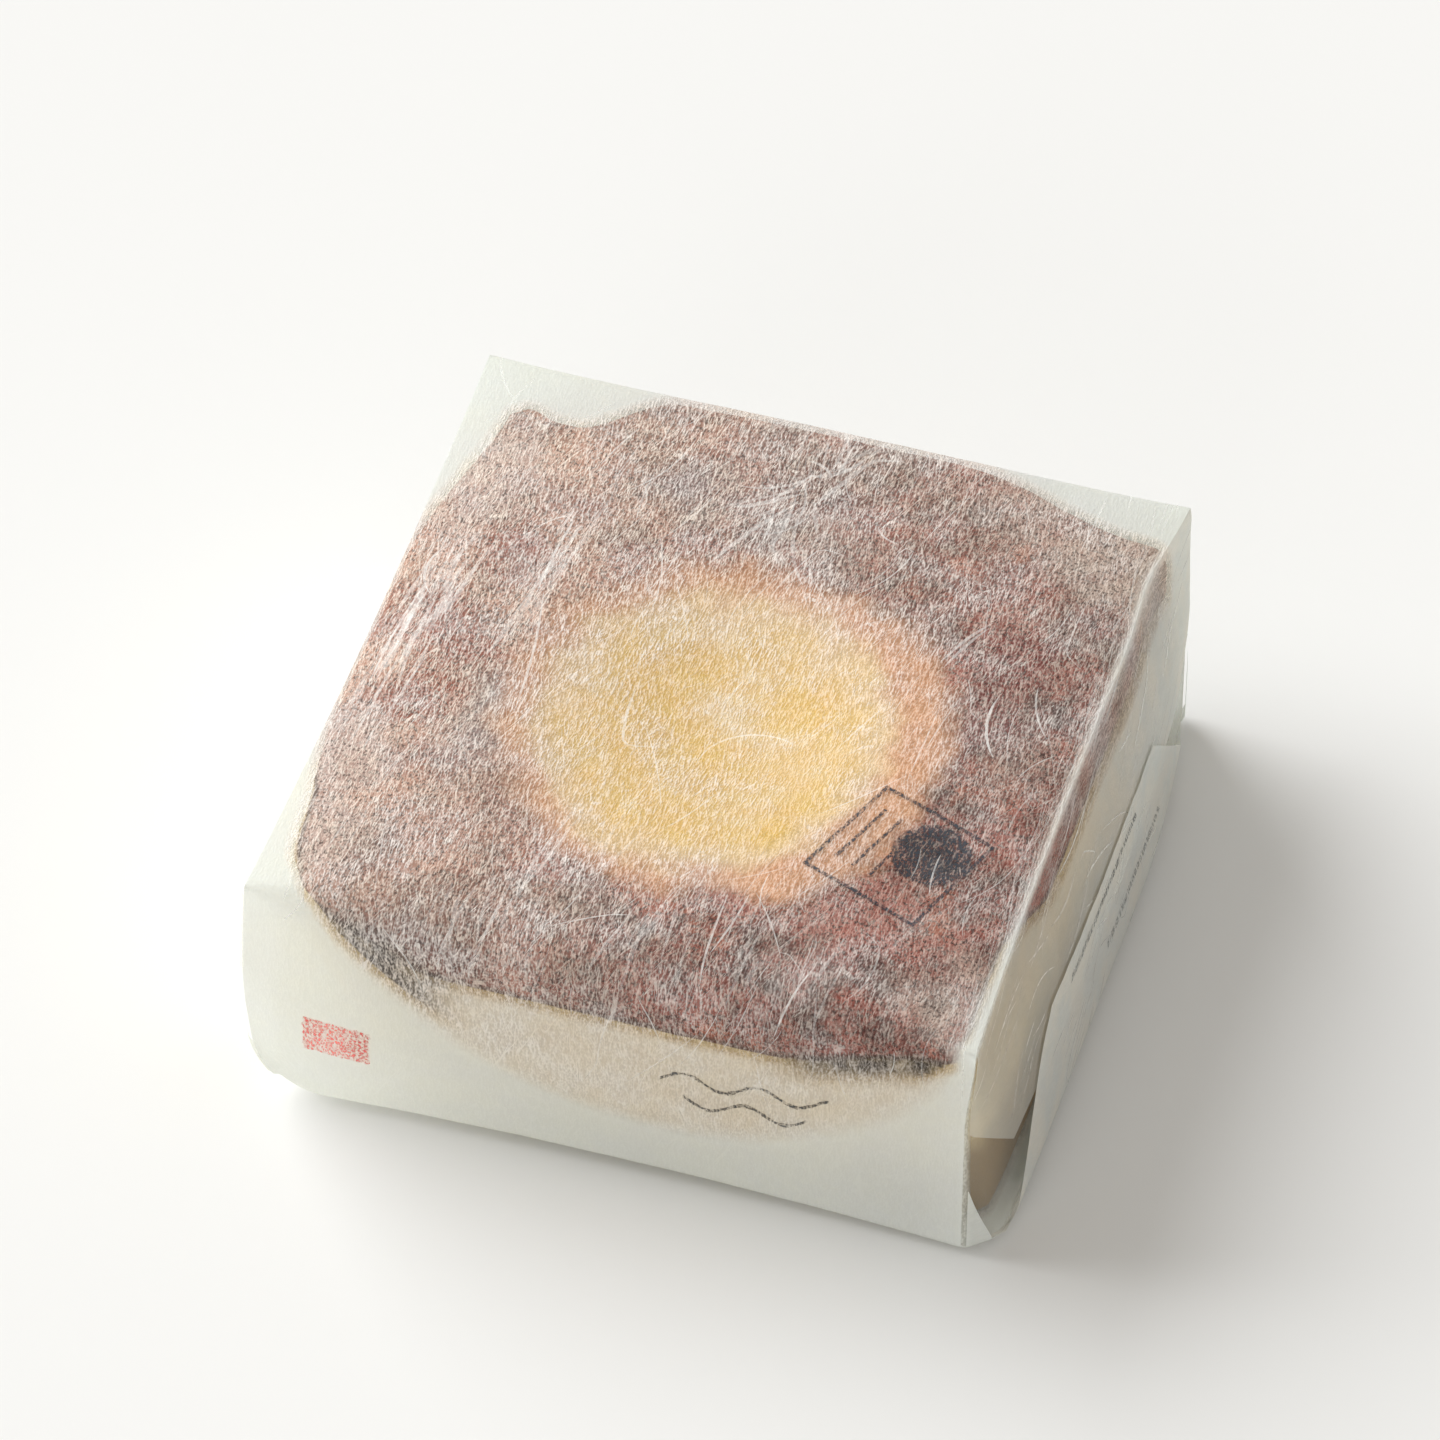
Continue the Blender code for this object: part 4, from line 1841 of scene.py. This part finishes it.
@dataclass(frozen=True)
class Mark(ABC):
    """A plain printed mark, on a patch that lies on a sheet."""

    fleece: bpy.types.NodeTree
    name: str
    size: tuple[float, float]
    colour: Colour
    strength: float
    lift: float = 0.00004
    step: float = 0.001

    @abstractmethod
    def mask(self, recipe: Recipe, x: Socket, y: Socket) -> Socket:
        """Draws the mark.

        Args:
            recipe: Where the nodes go.
            x: Place along the patch in millimetres from its middle.
            y: Place across it.

        Returns:
            1 where ink lies, 0 elsewhere.
        """

    def finish(self) -> bpy.types.Material:
        """Ink that the fibres break up."""
        material, recipe = new_material(self.name)
        fleece = recipe.effect(self.fleece, Place=recipe.uv(SHEET_UV)).outputs
        spot = recipe.vector_maths("MULTIPLY", recipe.uv(PRINT_UV), (MM,) * 3)
        x, y, _z = recipe.parts(spot)
        held = recipe.product(
            recipe.ranged(fleece["Matting"], 0.95, 0.20, 0.35, 1.0),
            recipe.ranged(fleece["Hairs"], 0.0, 1.0, 1.0, 0.3),
            recipe.ranged(recipe.speckle(spot, 2.1, 1.0), 0.38, 0.56, 0.30, 1.0))
        pale = tuple(min(1.0, part * 1.5 + 0.02) for part in self.colour)
        recipe.surface(recipe.shader(
            "Principled", Base_Color=recipe.tinted(fleece["Cloud"], self.colour, pale), Roughness=0.8,
            Alpha=recipe.product(self.mask(recipe, x, y), held, self.strength)))
        return material

    def build(self, sheet: Sheet, across: float, along: float, turn: float) -> bmesh.types.BMesh:
        """Lays the patch on a sheet.

        Args:
            sheet: The sheet that carries it.
            across: Place of its middle across the sheet.
            along: Place of its middle along the sheet.
            turn: Angle in degrees.

        Returns:
            The patch, with the places on the sheet and on the print as UV maps.
        """
        builder = bmesh.new()
        columns, rows = (max(2, round(size / self.step)) for size in self.size)
        bmesh.ops.create_grid(builder, x_segments=columns, y_segments=rows, size=0.5)
        on_sheet = builder.loops.layers.uv.new(SHEET_UV)
        on_print = builder.loops.layers.uv.new(PRINT_UV)
        turning = Matrix.Rotation(math.radians(turn), 2)
        for vert in builder.verts:
            local = Vector((vert.co.x * self.size[0], vert.co.y * self.size[1]))
            there = turning @ local
            at_across, at_along = across + there.x, along + there.y
            for loop in vert.link_loops:
                loop[on_sheet].uv = sheet.flat_place(at_across, at_along)
                loop[on_print].uv = local
            vert.co = sheet.place(at_across, at_along) + sheet.outward(at_across, at_along) * self.lift
        for face in builder.faces:
            face.smooth = True
        return builder


@dataclass(frozen=True)
class FrameMark(Mark):
    """A thin square frame with a solid disc and three plain bars in it."""

    half: float = 8.9
    line: float = 0.28
    disc: float = 5.4
    disc_x: float = 2.6
    disc_y: float = -3.4
    bar_middle: float = 3.7
    bar_reach: float = 5.6
    bars_per_mm: float = 0.36
    bars_half_height: float = 3.5

    def bars(self, recipe: Recipe, x: Socket, y: Socket) -> Socket:
        """Draws the bars as the middles of an even wave.

        Args:
            recipe: Where the nodes go.
            x: Place along the patch.
            y: Place across it.

        Returns:
            1 on a bar, 0 elsewhere.
        """
        from_middle = recipe.maths("SUBTRACT", y, self.bar_middle)
        wave = recipe.maths("FRACT", recipe.maths("MULTIPLY_ADD", from_middle, self.bars_per_mm, 0.5))
        return recipe.product(
            recipe.ranged(recipe.away(wave, 0.5), 0.12, 0.07),
            recipe.ranged(recipe.maths("ABSOLUTE", x), self.bar_reach, self.bar_reach - 0.3),
            recipe.ranged(
                recipe.maths("ABSOLUTE", from_middle),
                self.bars_half_height + 0.1, self.bars_half_height - 0.1))

    def mask(self, recipe: Recipe, x: Socket, y: Socket) -> Socket:
        """Draws frame, disc and bars together.

        Args:
            recipe: Where the nodes go.
            x: Place along the patch.
            y: Place across it.

        Returns:
            1 where ink lies, 0 elsewhere.
        """
        out_x, out_y = (recipe.maths("ABSOLUTE", part) for part in (x, y))
        off_line = recipe.away(recipe.maths("MAXIMUM", out_x, out_y), self.half)
        frame_line = recipe.ranged(off_line, self.line + 0.1, self.line - 0.1)
        squares = (
            recipe.maths("POWER", recipe.maths("SUBTRACT", part, middle), 2.0)
            for part, middle in ((x, self.disc_x), (y, self.disc_y)))
        from_disc = recipe.maths("SQRT", recipe.maths("ADD", *squares))
        disc = recipe.ranged(from_disc, self.disc + 0.25, self.disc - 0.25)
        return recipe.maths("MAXIMUM", frame_line, recipe.maths("MAXIMUM", disc, self.bars(recipe, x, y)))


@dataclass(frozen=True)
class PlainBlock(Mark):
    """A plain stamped rectangle with uneven edges and worn ink."""

    margin: float = 0.7
    unevenness: float = 1.1

    def mask(self, recipe: Recipe, x: Socket, y: Socket) -> Socket:
        """Draws the rectangle, worn by a soft pattern.

        Args:
            recipe: Where the nodes go.
            x: Place along the patch.
            y: Place across it.

        Returns:
            1 where ink lies, 0 elsewhere.
        """
        spot = recipe.joined(x, y)
        pattern = recipe.maths("SUBTRACT", recipe.speckle(spot, 0.9, 3.0), 0.5)
        uneven = recipe.product(pattern, self.unevenness)
        over_x, over_y = (
            recipe.maths("SUBTRACT", recipe.maths("ABSOLUTE", part), size * MM / 2 - self.margin)
            for part, size in zip((x, y), self.size))
        off_edge = recipe.maths("ADD", recipe.maths("MAXIMUM", over_x, over_y), uneven)
        crease_wear_and_sheen = recipe.ranged(recipe.speckle(spot, 1.6, 4.0, 0.65), 0.40, 0.62, 0.35, 1.0)
        return recipe.product(recipe.ranged(off_edge, 0.22, -0.05), crease_wear_and_sheen)


@dataclass(frozen=True)
class Ripples(Mark):
    """Two hand-drawn wavy lines."""

    margin: float = 1.5
    swing: float = 1.15
    turns_per_mm: float = 0.62
    lines: tuple[tuple[float, float, float], ...] = ((1.9, 0.3, 1.0), (-2.1, 1.5, 0.72))

    def mask(self, recipe: Recipe, x: Socket, y: Socket) -> Socket:
        """Draws lines whose height swings along the patch, with uneven pressure.

        Args:
            recipe: Where the nodes go.
            x: Place along the patch.
            y: Place across it.

        Returns:
            1 where ink lies, 0 elsewhere.
        """
        pressure = recipe.speckle(recipe.joined(x, y), 0.5, 3.0, 0.6)
        thick = recipe.ranged(pressure, 0.3, 0.7, 0.14, 0.42)
        half_x = self.size[0] * MM / 2 - self.margin
        inked: Socket | None = None
        for height, phase, share in self.lines:
            wave = recipe.maths("SINE", recipe.maths("MULTIPLY_ADD", x, self.turns_per_mm, phase))
            level = recipe.maths("MULTIPLY_ADD", wave, self.swing, height)
            line = recipe.maths("LESS_THAN", recipe.away(y, level), thick)
            reach = half_x * share
            stroke = recipe.product(line, recipe.ranged(recipe.maths("ABSOLUTE", x), reach, reach - 0.3))
            inked = stroke if inked is None else recipe.maths("MAXIMUM", inked, stroke)
        return inked


@dataclass(frozen=True)
class Dashes(Mark):
    """A fine row of plain dashes."""

    per_mm: float = 1.15
    half_height: float = 0.65

    def mask(self, recipe: Recipe, x: Socket, y: Socket) -> Socket:
        """Draws dashes of uneven length along the row.

        Args:
            recipe: Where the nodes go.
            x: Place along the patch.
            y: Place across it.

        Returns:
            1 where ink lies, 0 elsewhere.
        """
        dash = recipe.ranged(recipe.speckle(recipe.joined(x), self.per_mm, 1.0), 0.45, 0.50)
        row = recipe.ranged(recipe.maths("ABSOLUTE", y), self.half_height + 0.1, self.half_height - 0.1)
        return recipe.product(dash, row)


class Workshop:
    """Turns finished meshes into pieces that ride on the pack."""

    def finish(self, name: str, builder: bmesh.types.BMesh, material: bpy.types.Material, slot: Slot,
               fields: dict[str, list[float]] | None = None,
               stands_for_node: bool = False) -> bpy.types.Object:
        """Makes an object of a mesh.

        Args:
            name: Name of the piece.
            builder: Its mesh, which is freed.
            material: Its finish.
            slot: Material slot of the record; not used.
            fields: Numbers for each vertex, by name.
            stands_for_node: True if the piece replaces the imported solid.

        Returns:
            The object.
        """
        mesh = bpy.data.meshes.new(name)
        builder.to_mesh(mesh)
        builder.free()
        for field_name, values in (fields or {}).items():
            attribute = mesh.attributes.new(field_name, "FLOAT", "POINT")
            attribute.data.foreach_set("value", values)
        mesh.materials.append(material)
        piece = bpy.data.objects.new(name, mesh)
        bpy.context.scene.collection.objects.link(piece)
        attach(piece, BODY)
        if stands_for_node:
            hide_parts(NODE)
        LOG.info("%s: %d faces", name, len(mesh.polygons))
        return piece


@dataclass
class Wrapping:
    """The folded sheet: sleeve, tabs and flaps."""

    pack: PackForm
    fleece: bpy.types.NodeTree
    step: float = 0.0009

    def sheets(self) -> list[Sheet]:
        """Every part of the sheet, from the inside out."""
        ends: list[Sheet] = []
        for end in End:
            ends += [kind(self.pack, end, face) for kind in (Tab, Gusset) for face in Face]
            ends += [TopFlap(self.pack, end), BottomFlap(self.pack, end)]
        return [Sleeve(self.pack), *ends]

    def build(self, workshop: Workshop, cake: BVHTree) -> dict[str, Sheet]:
        """Builds the sheets, each with its distance from the cake.

        Args:
            workshop: Finishes the pieces.
            cake: The cake's surface.

        Returns:
            The sheets by name.
        """
        sleeve_finish = WashiFinish(self.fleece, self.pack).build()
        flap_finish = WashiFinish(
            self.fleece, self.pack, name="washi_flaps", white=(0.985, 0.975, 0.915), pinhole=(0.0, 0.28),
            matted=(0.16, 0.84), lifted=(0.42, 0.98), glow=(0.22, 0.34), back_weight_and_light=0.9).build()
        tab_finish = WashiFinish(
            self.fleece, self.pack, name="washi_tabs", pinhole=(0.06, 0.16), matted=(0.30, 0.55),
            lifted=(0.24, 0.50), glow=(0.3, 0.5)).build()
        finishes = {Tab: tab_finish, TopFlap: flap_finish, BottomFlap: flap_finish}
        made: dict[str, Sheet] = {}
        for sheet in self.sheets():
            builder = sheet.build(self.step)
            gaps = [cake.find_nearest(vert.co)[3] * MM for vert in builder.verts]
            finish = finishes.get(type(sheet), sleeve_finish)
            workshop.finish(sheet.name, builder, finish, Slot.PAPER, {"gap": gaps}, sheet.name == "sleeve")
            made[sheet.name] = sheet
        return made


@dataclass(frozen=True)
class Beam:
    """One broad beam of soft light."""

    name: str
    strength: float
    azimuth: float
    height: float
    spread: float
    tone: Colour = (0.985, 1.0, 1.0)

    def shine(self) -> None:
        """Adds the light, with its angles in degrees."""
        lamp = bpy.data.lights.new(self.name, "SUN")
        lamp.energy = self.strength
        lamp.angle = math.radians(self.spread)
        lamp.color = self.tone
        holder = bpy.data.objects.new(self.name, lamp)
        around, up = math.radians(self.azimuth), math.radians(self.height)
        towards = Vector((math.cos(around) * math.cos(up), math.sin(around) * math.cos(up), math.sin(up)))
        holder.matrix_world = towards.to_track_quat("Z", "Y").to_matrix().to_4x4()
        bpy.context.scene.collection.objects.link(holder)


@dataclass(frozen=True)
class Studio:
    """Pale floor, soft light from the back left with a faint low fill in front, and the camera."""

    floor_half: float = 3.0
    floor_white: Colour = (0.86, 0.86, 0.86)
    sky: float = 0.48
    sky_tone: Colour = (1.0, 0.965, 0.90)
    key: Beam = Beam("key", 3.72, 164.0, 30.0, 60.0)
    fill: Beam = Beam("fill", 0.80, 262.0, 7.0, 40.0)
    azimuth: float = 16.656
    elevation: float = 46.457
    roll: float = 0.519
    distance: float = 1.5
    aim: tuple[float, float, float] = (0.0, 0.0, 0.018)
    focal_pixels: float = 11113.6
    picture: float = 1440.0
    off_middle: tuple[float, float] = (8.696, 87.773)
    sensor: float = 36.0
    paper_bounces: int = 24

    def floor(self) -> None:
        """Lays the floor."""
        builder = bmesh.new()
        bmesh.ops.create_grid(builder, x_segments=2, y_segments=2, size=self.floor_half)
        mesh = bpy.data.meshes.new("floor")
        builder.to_mesh(mesh)
        builder.free()
        material = bpy.data.materials.new("floor")
        material.use_nodes = True
        shader = material.node_tree.nodes["Principled BSDF"]
        shader.inputs["Base Color"].default_value = (*self.floor_white, 1.0)
        shader.inputs["Roughness"].default_value = 0.9
        shader.inputs["Specular IOR Level"].default_value = 0.0
        mesh.materials.append(material)
        piece = bpy.data.objects.new("floor", mesh)
        bpy.context.scene.collection.objects.link(piece)

    def light(self) -> None:
        """Sets an even, faintly warm surround and the two beams."""
        world = bpy.data.worlds.new("studio")
        world.use_nodes = True
        ground = world.node_tree.nodes["Background"]
        ground.inputs["Color"].default_value = (*self.sky_tone, 1.0)
        ground.inputs["Strength"].default_value = self.sky
        bpy.context.scene.world = world
        for beam in (self.key, self.fill):
            beam.shine()

    def camera(self) -> None:
        """Sets the camera at the photograph's angle and distance."""
        around, up = math.radians(self.azimuth), math.radians(self.elevation)
        outward = Vector((math.sin(around) * math.cos(up), -math.cos(around) * math.cos(up), math.sin(up)))
        side = Vector((0, 0, 1)).cross(outward).normalized()
        upward = outward.cross(side)
        turn = math.radians(self.roll)
        rolled_side = side * math.cos(turn) + upward * math.sin(turn)
        rolled_up = upward * math.cos(turn) - side * math.sin(turn)
        facing = Matrix((rolled_side, rolled_up, outward)).transposed().to_4x4()
        data = bpy.data.cameras.new("camera")
        data.sensor_width = self.sensor
        data.lens = self.focal_pixels / self.picture * self.sensor
        data.shift_x = -self.off_middle[0] / self.picture
        data.shift_y = self.off_middle[1] / self.picture
        holder = bpy.data.objects.new("camera", data)
        eye = Vector(self.aim) + outward * self.distance
        holder.matrix_world = Matrix.Translation(eye) @ facing
        bpy.context.scene.collection.objects.link(holder)
        bpy.context.scene.camera = holder

    def build(self) -> None:
        """Sets up the whole studio."""
        self.floor()
        self.light()
        self.camera()
        scene = bpy.context.scene
        scene.view_settings.view_transform = "Standard"
        scene.cycles.transparent_max_bounces = self.paper_bounces


@dataclass(frozen=True)
class Details:
    """Long fibres and printed marks on the folded sheet.

    The laid fibres are given by X and Y from the top's middle, then by their other values in Thread's order.
    """

    pack: PackForm
    fleece: bpy.types.NodeTree
    sheets: dict[str, Sheet]
    laid: tuple[tuple[float, ...], ...] = (
        (-0.0295, 0.0097, 0.10, 0.0200, 0.3, -2.6, 0.00034, 0.8),
        (-0.0257, -0.0124, -0.14, 0.0226, -0.2, 0.0, 0.00034, 0.8),
        (-0.0118, -0.0025, 2.94, 0.0140, -0.4, -1.5, 0.00042, 0.75),
        (0.0000, -0.0135, 1.05, 0.0166, 2.1, 0.0, 0.00026, 0.7),
        (0.0353, 0.0097, 2.90, 0.0117, -0.9, 0.0, 0.00040, 0.9),
        (0.0399, 0.0130, 2.70, 0.0098, -0.7, 0.0, 0.00030, 0.6),
        (0.0120, -0.0515, -0.04, 0.0154, 0.1, 0.0, 0.00030, 0.7),
        (0.0121, -0.0462, 0.16, 0.0114, -0.2, 0.0, 0.00028, 0.7),
        (0.0229, -0.0574, 0.23, 0.0135, 0.1, 0.0, 0.00028, 0.8),
        (0.0259, 0.0133, 0.49, 0.0103, 0.3, 0.0, 0.00045, 0.55),
        (0.0266, 0.0126, 0.42, 0.0093, 0.2, 0.0, 0.00040, 0.5),
        (0.0107, 0.0354, 2.13, 0.0045, -1.2, 0.0, 0.00030, 0.75),
        (-0.0435, 0.0055, 0.00, 0.0107, 1.6, 0.0, 0.00040, 0.75),
        (-0.0464, -0.0128, 0.08, 0.0199, 0.2, 0.0, 0.00034, 0.75),
        (-0.0287, 0.0352, 0.34, 0.0092, 0.2, 0.0, 0.00028, 0.6))

    def sleeve_threads(self) -> list[Threads]:
        """Plans the fibres on the sleeve.

        Returns:
            The fibres in the order in which they are laid.
        """
        sleeve = self.sheets["sleeve"]
        start, stop = sleeve.top_start, sleeve.top_end
        half, top = self.pack.half_width, start + self.pack.half_depth
        laid = tuple(Thread(half + x, top + y, *others) for x, y, *others in self.laid)
        return [
            Threads(sleeve, "top_fibres", 150, (0.004, 0.096, start - 0.012, stop), laid=laid),
            Threads(sleeve, "ridge_fibres", 90, (0.0966, 0.0994, start, stop), 21, lean=-0.04, stray=0.10,
                    curl=0.14, hooked=0.0, width=(0.00008, 0.0002), strength=(0.15, 0.4)),
            Wisps(sleeve, "left_wisps", 34, (0.0025, 0.0100, top - 0.014, top + 0.010), 31, stray=0.07,
                  width=(0.0002, 0.0009), strength=(0.25, 0.55)),
            Wisps(sleeve, "hook_wisps", 22, (0.0195, 0.0225, top + 0.009, top + 0.022), 32, stray=0.06,
                  curl=0.15, strength=(0.16, 0.42)),
            Wisps(sleeve, "back_wisps", 26, (0.0480, 0.0525, top + 0.036, top + 0.044), 33, lean=0.35,
                  stray=0.5, curl=0.8, hooked=0.3, strength=(0.25, 0.5)),
            Wisps(sleeve, "front_wisps", 46, (0.018, 0.084, start + 0.001, start + 0.016), 34, stray=0.14,
                  width=(0.0002, 0.0006), strength=(0.12, 0.32))]

    def end_threads(self) -> list[Threads]:
        """Plans the fibres on the flaps.

        Returns:
            The fibres in the order in which they are laid.
        """
        flaps = [
            Threads(self.sheets[f"{side}_top_flap"], f"{side}_flap_fibres", 60, (0.004, 0.100, 0.002, 0.026),
                    seed, lean=1.45, width=(0.00014, 0.0003), strength=(0.5, 0.95))
            for side, seed in (("right", 8), ("left", 9))]
        feet = [
            Threads(self.sheets[f"{side}_bottom_flap"], f"{side}_foot_fibres", 40, (0.02, 0.085, 0.001, 0.02),
                    seed, lean=1.45)
            for side, seed in (("right", 3), ("left", 4))]
        return flaps + feet

    def fibres(self, workshop: Workshop) -> None:
        """Lays the long fibres.

        Args:
            workshop: Finishes the pieces.
        """
        finish = ThreadFinish().build()
        soft_finish = ThreadFinish("end fibre", glow=0.0).build()
        for planned, lit in ((self.sleeve_threads(), finish), (self.end_threads(), soft_finish)):
            for threads in planned:
                builder, fields = threads.build()
                workshop.finish(threads.name, builder, lit, Slot.FIBRE, fields).visible_shadow = False

    def marks(self, workshop: Workshop) -> None:
        """Lays the printed marks: plain shapes where the real pack has its print.

        Args:
            workshop: Finishes the pieces.
        """
        sleeve, foot_flap = self.sheets["sleeve"], self.sheets["right_bottom_flap"]
        half, top, foot = self.pack.half_width, sleeve.top_start + self.pack.half_depth, sleeve.under_front
        stamp = FrameMark(self.fleece, "stamped_frame", (0.0200, 0.0200), (0.022, 0.030, 0.042), 0.95)
        block = PlainBlock(self.fleece, "red_block", (0.0105, 0.0078), (0.70, 0.09, 0.08), 1.0)
        ripples = Ripples(self.fleece, "drawn_ripples", (0.0265, 0.0100), (0.05, 0.055, 0.06), 0.95)
        upper = Dashes(self.fleece, "end_dashes_upper", (0.058, 0.0020), (0.07, 0.08, 0.10), 0.75)
        lower = Dashes(self.fleece, "end_dashes_lower", (0.038, 0.0020), (0.07, 0.08, 0.10), 0.55)
        for mark, sheet, across, along, turn in (
                (stamp, sleeve, half + 0.0308, top - 0.0222, 69.0),
                (block, sleeve, half - 0.0378, foot + 0.0137, -3.0),
                (ripples, sleeve, half + 0.0190, foot + 0.0212, 2.0),
                (upper, foot_flap, 0.0520, 0.0178, 0.0),
                (lower, foot_flap, 0.0700, 0.0085, 0.0)):
            workshop.finish(mark.name, mark.build(sheet, across, along, turn), mark.finish(), Slot.INK)


def main() -> None:
    """Builds the cake, its wrapping and the studio, in that order."""
    logging.basicConfig(level=logging.INFO, format="%(name)s: %(message)s")
    pack = PackForm()
    fleece = Fleece().group
    mottle = Mottle().group
    workshop = Workshop()
    builder, fields = Castella(pack).build()
    surface = BVHTree.FromBMesh(builder)
    workshop.finish("cake", builder, CakeFinish(mottle).build(), Slot.CRUST, fields)
    sheets = Wrapping(pack, fleece).build(workshop, surface)
    details = Details(pack, fleece, sheets)
    details.fibres(workshop)
    details.marks(workshop)
    Studio().build()


if __name__ == "__main__":
    main()
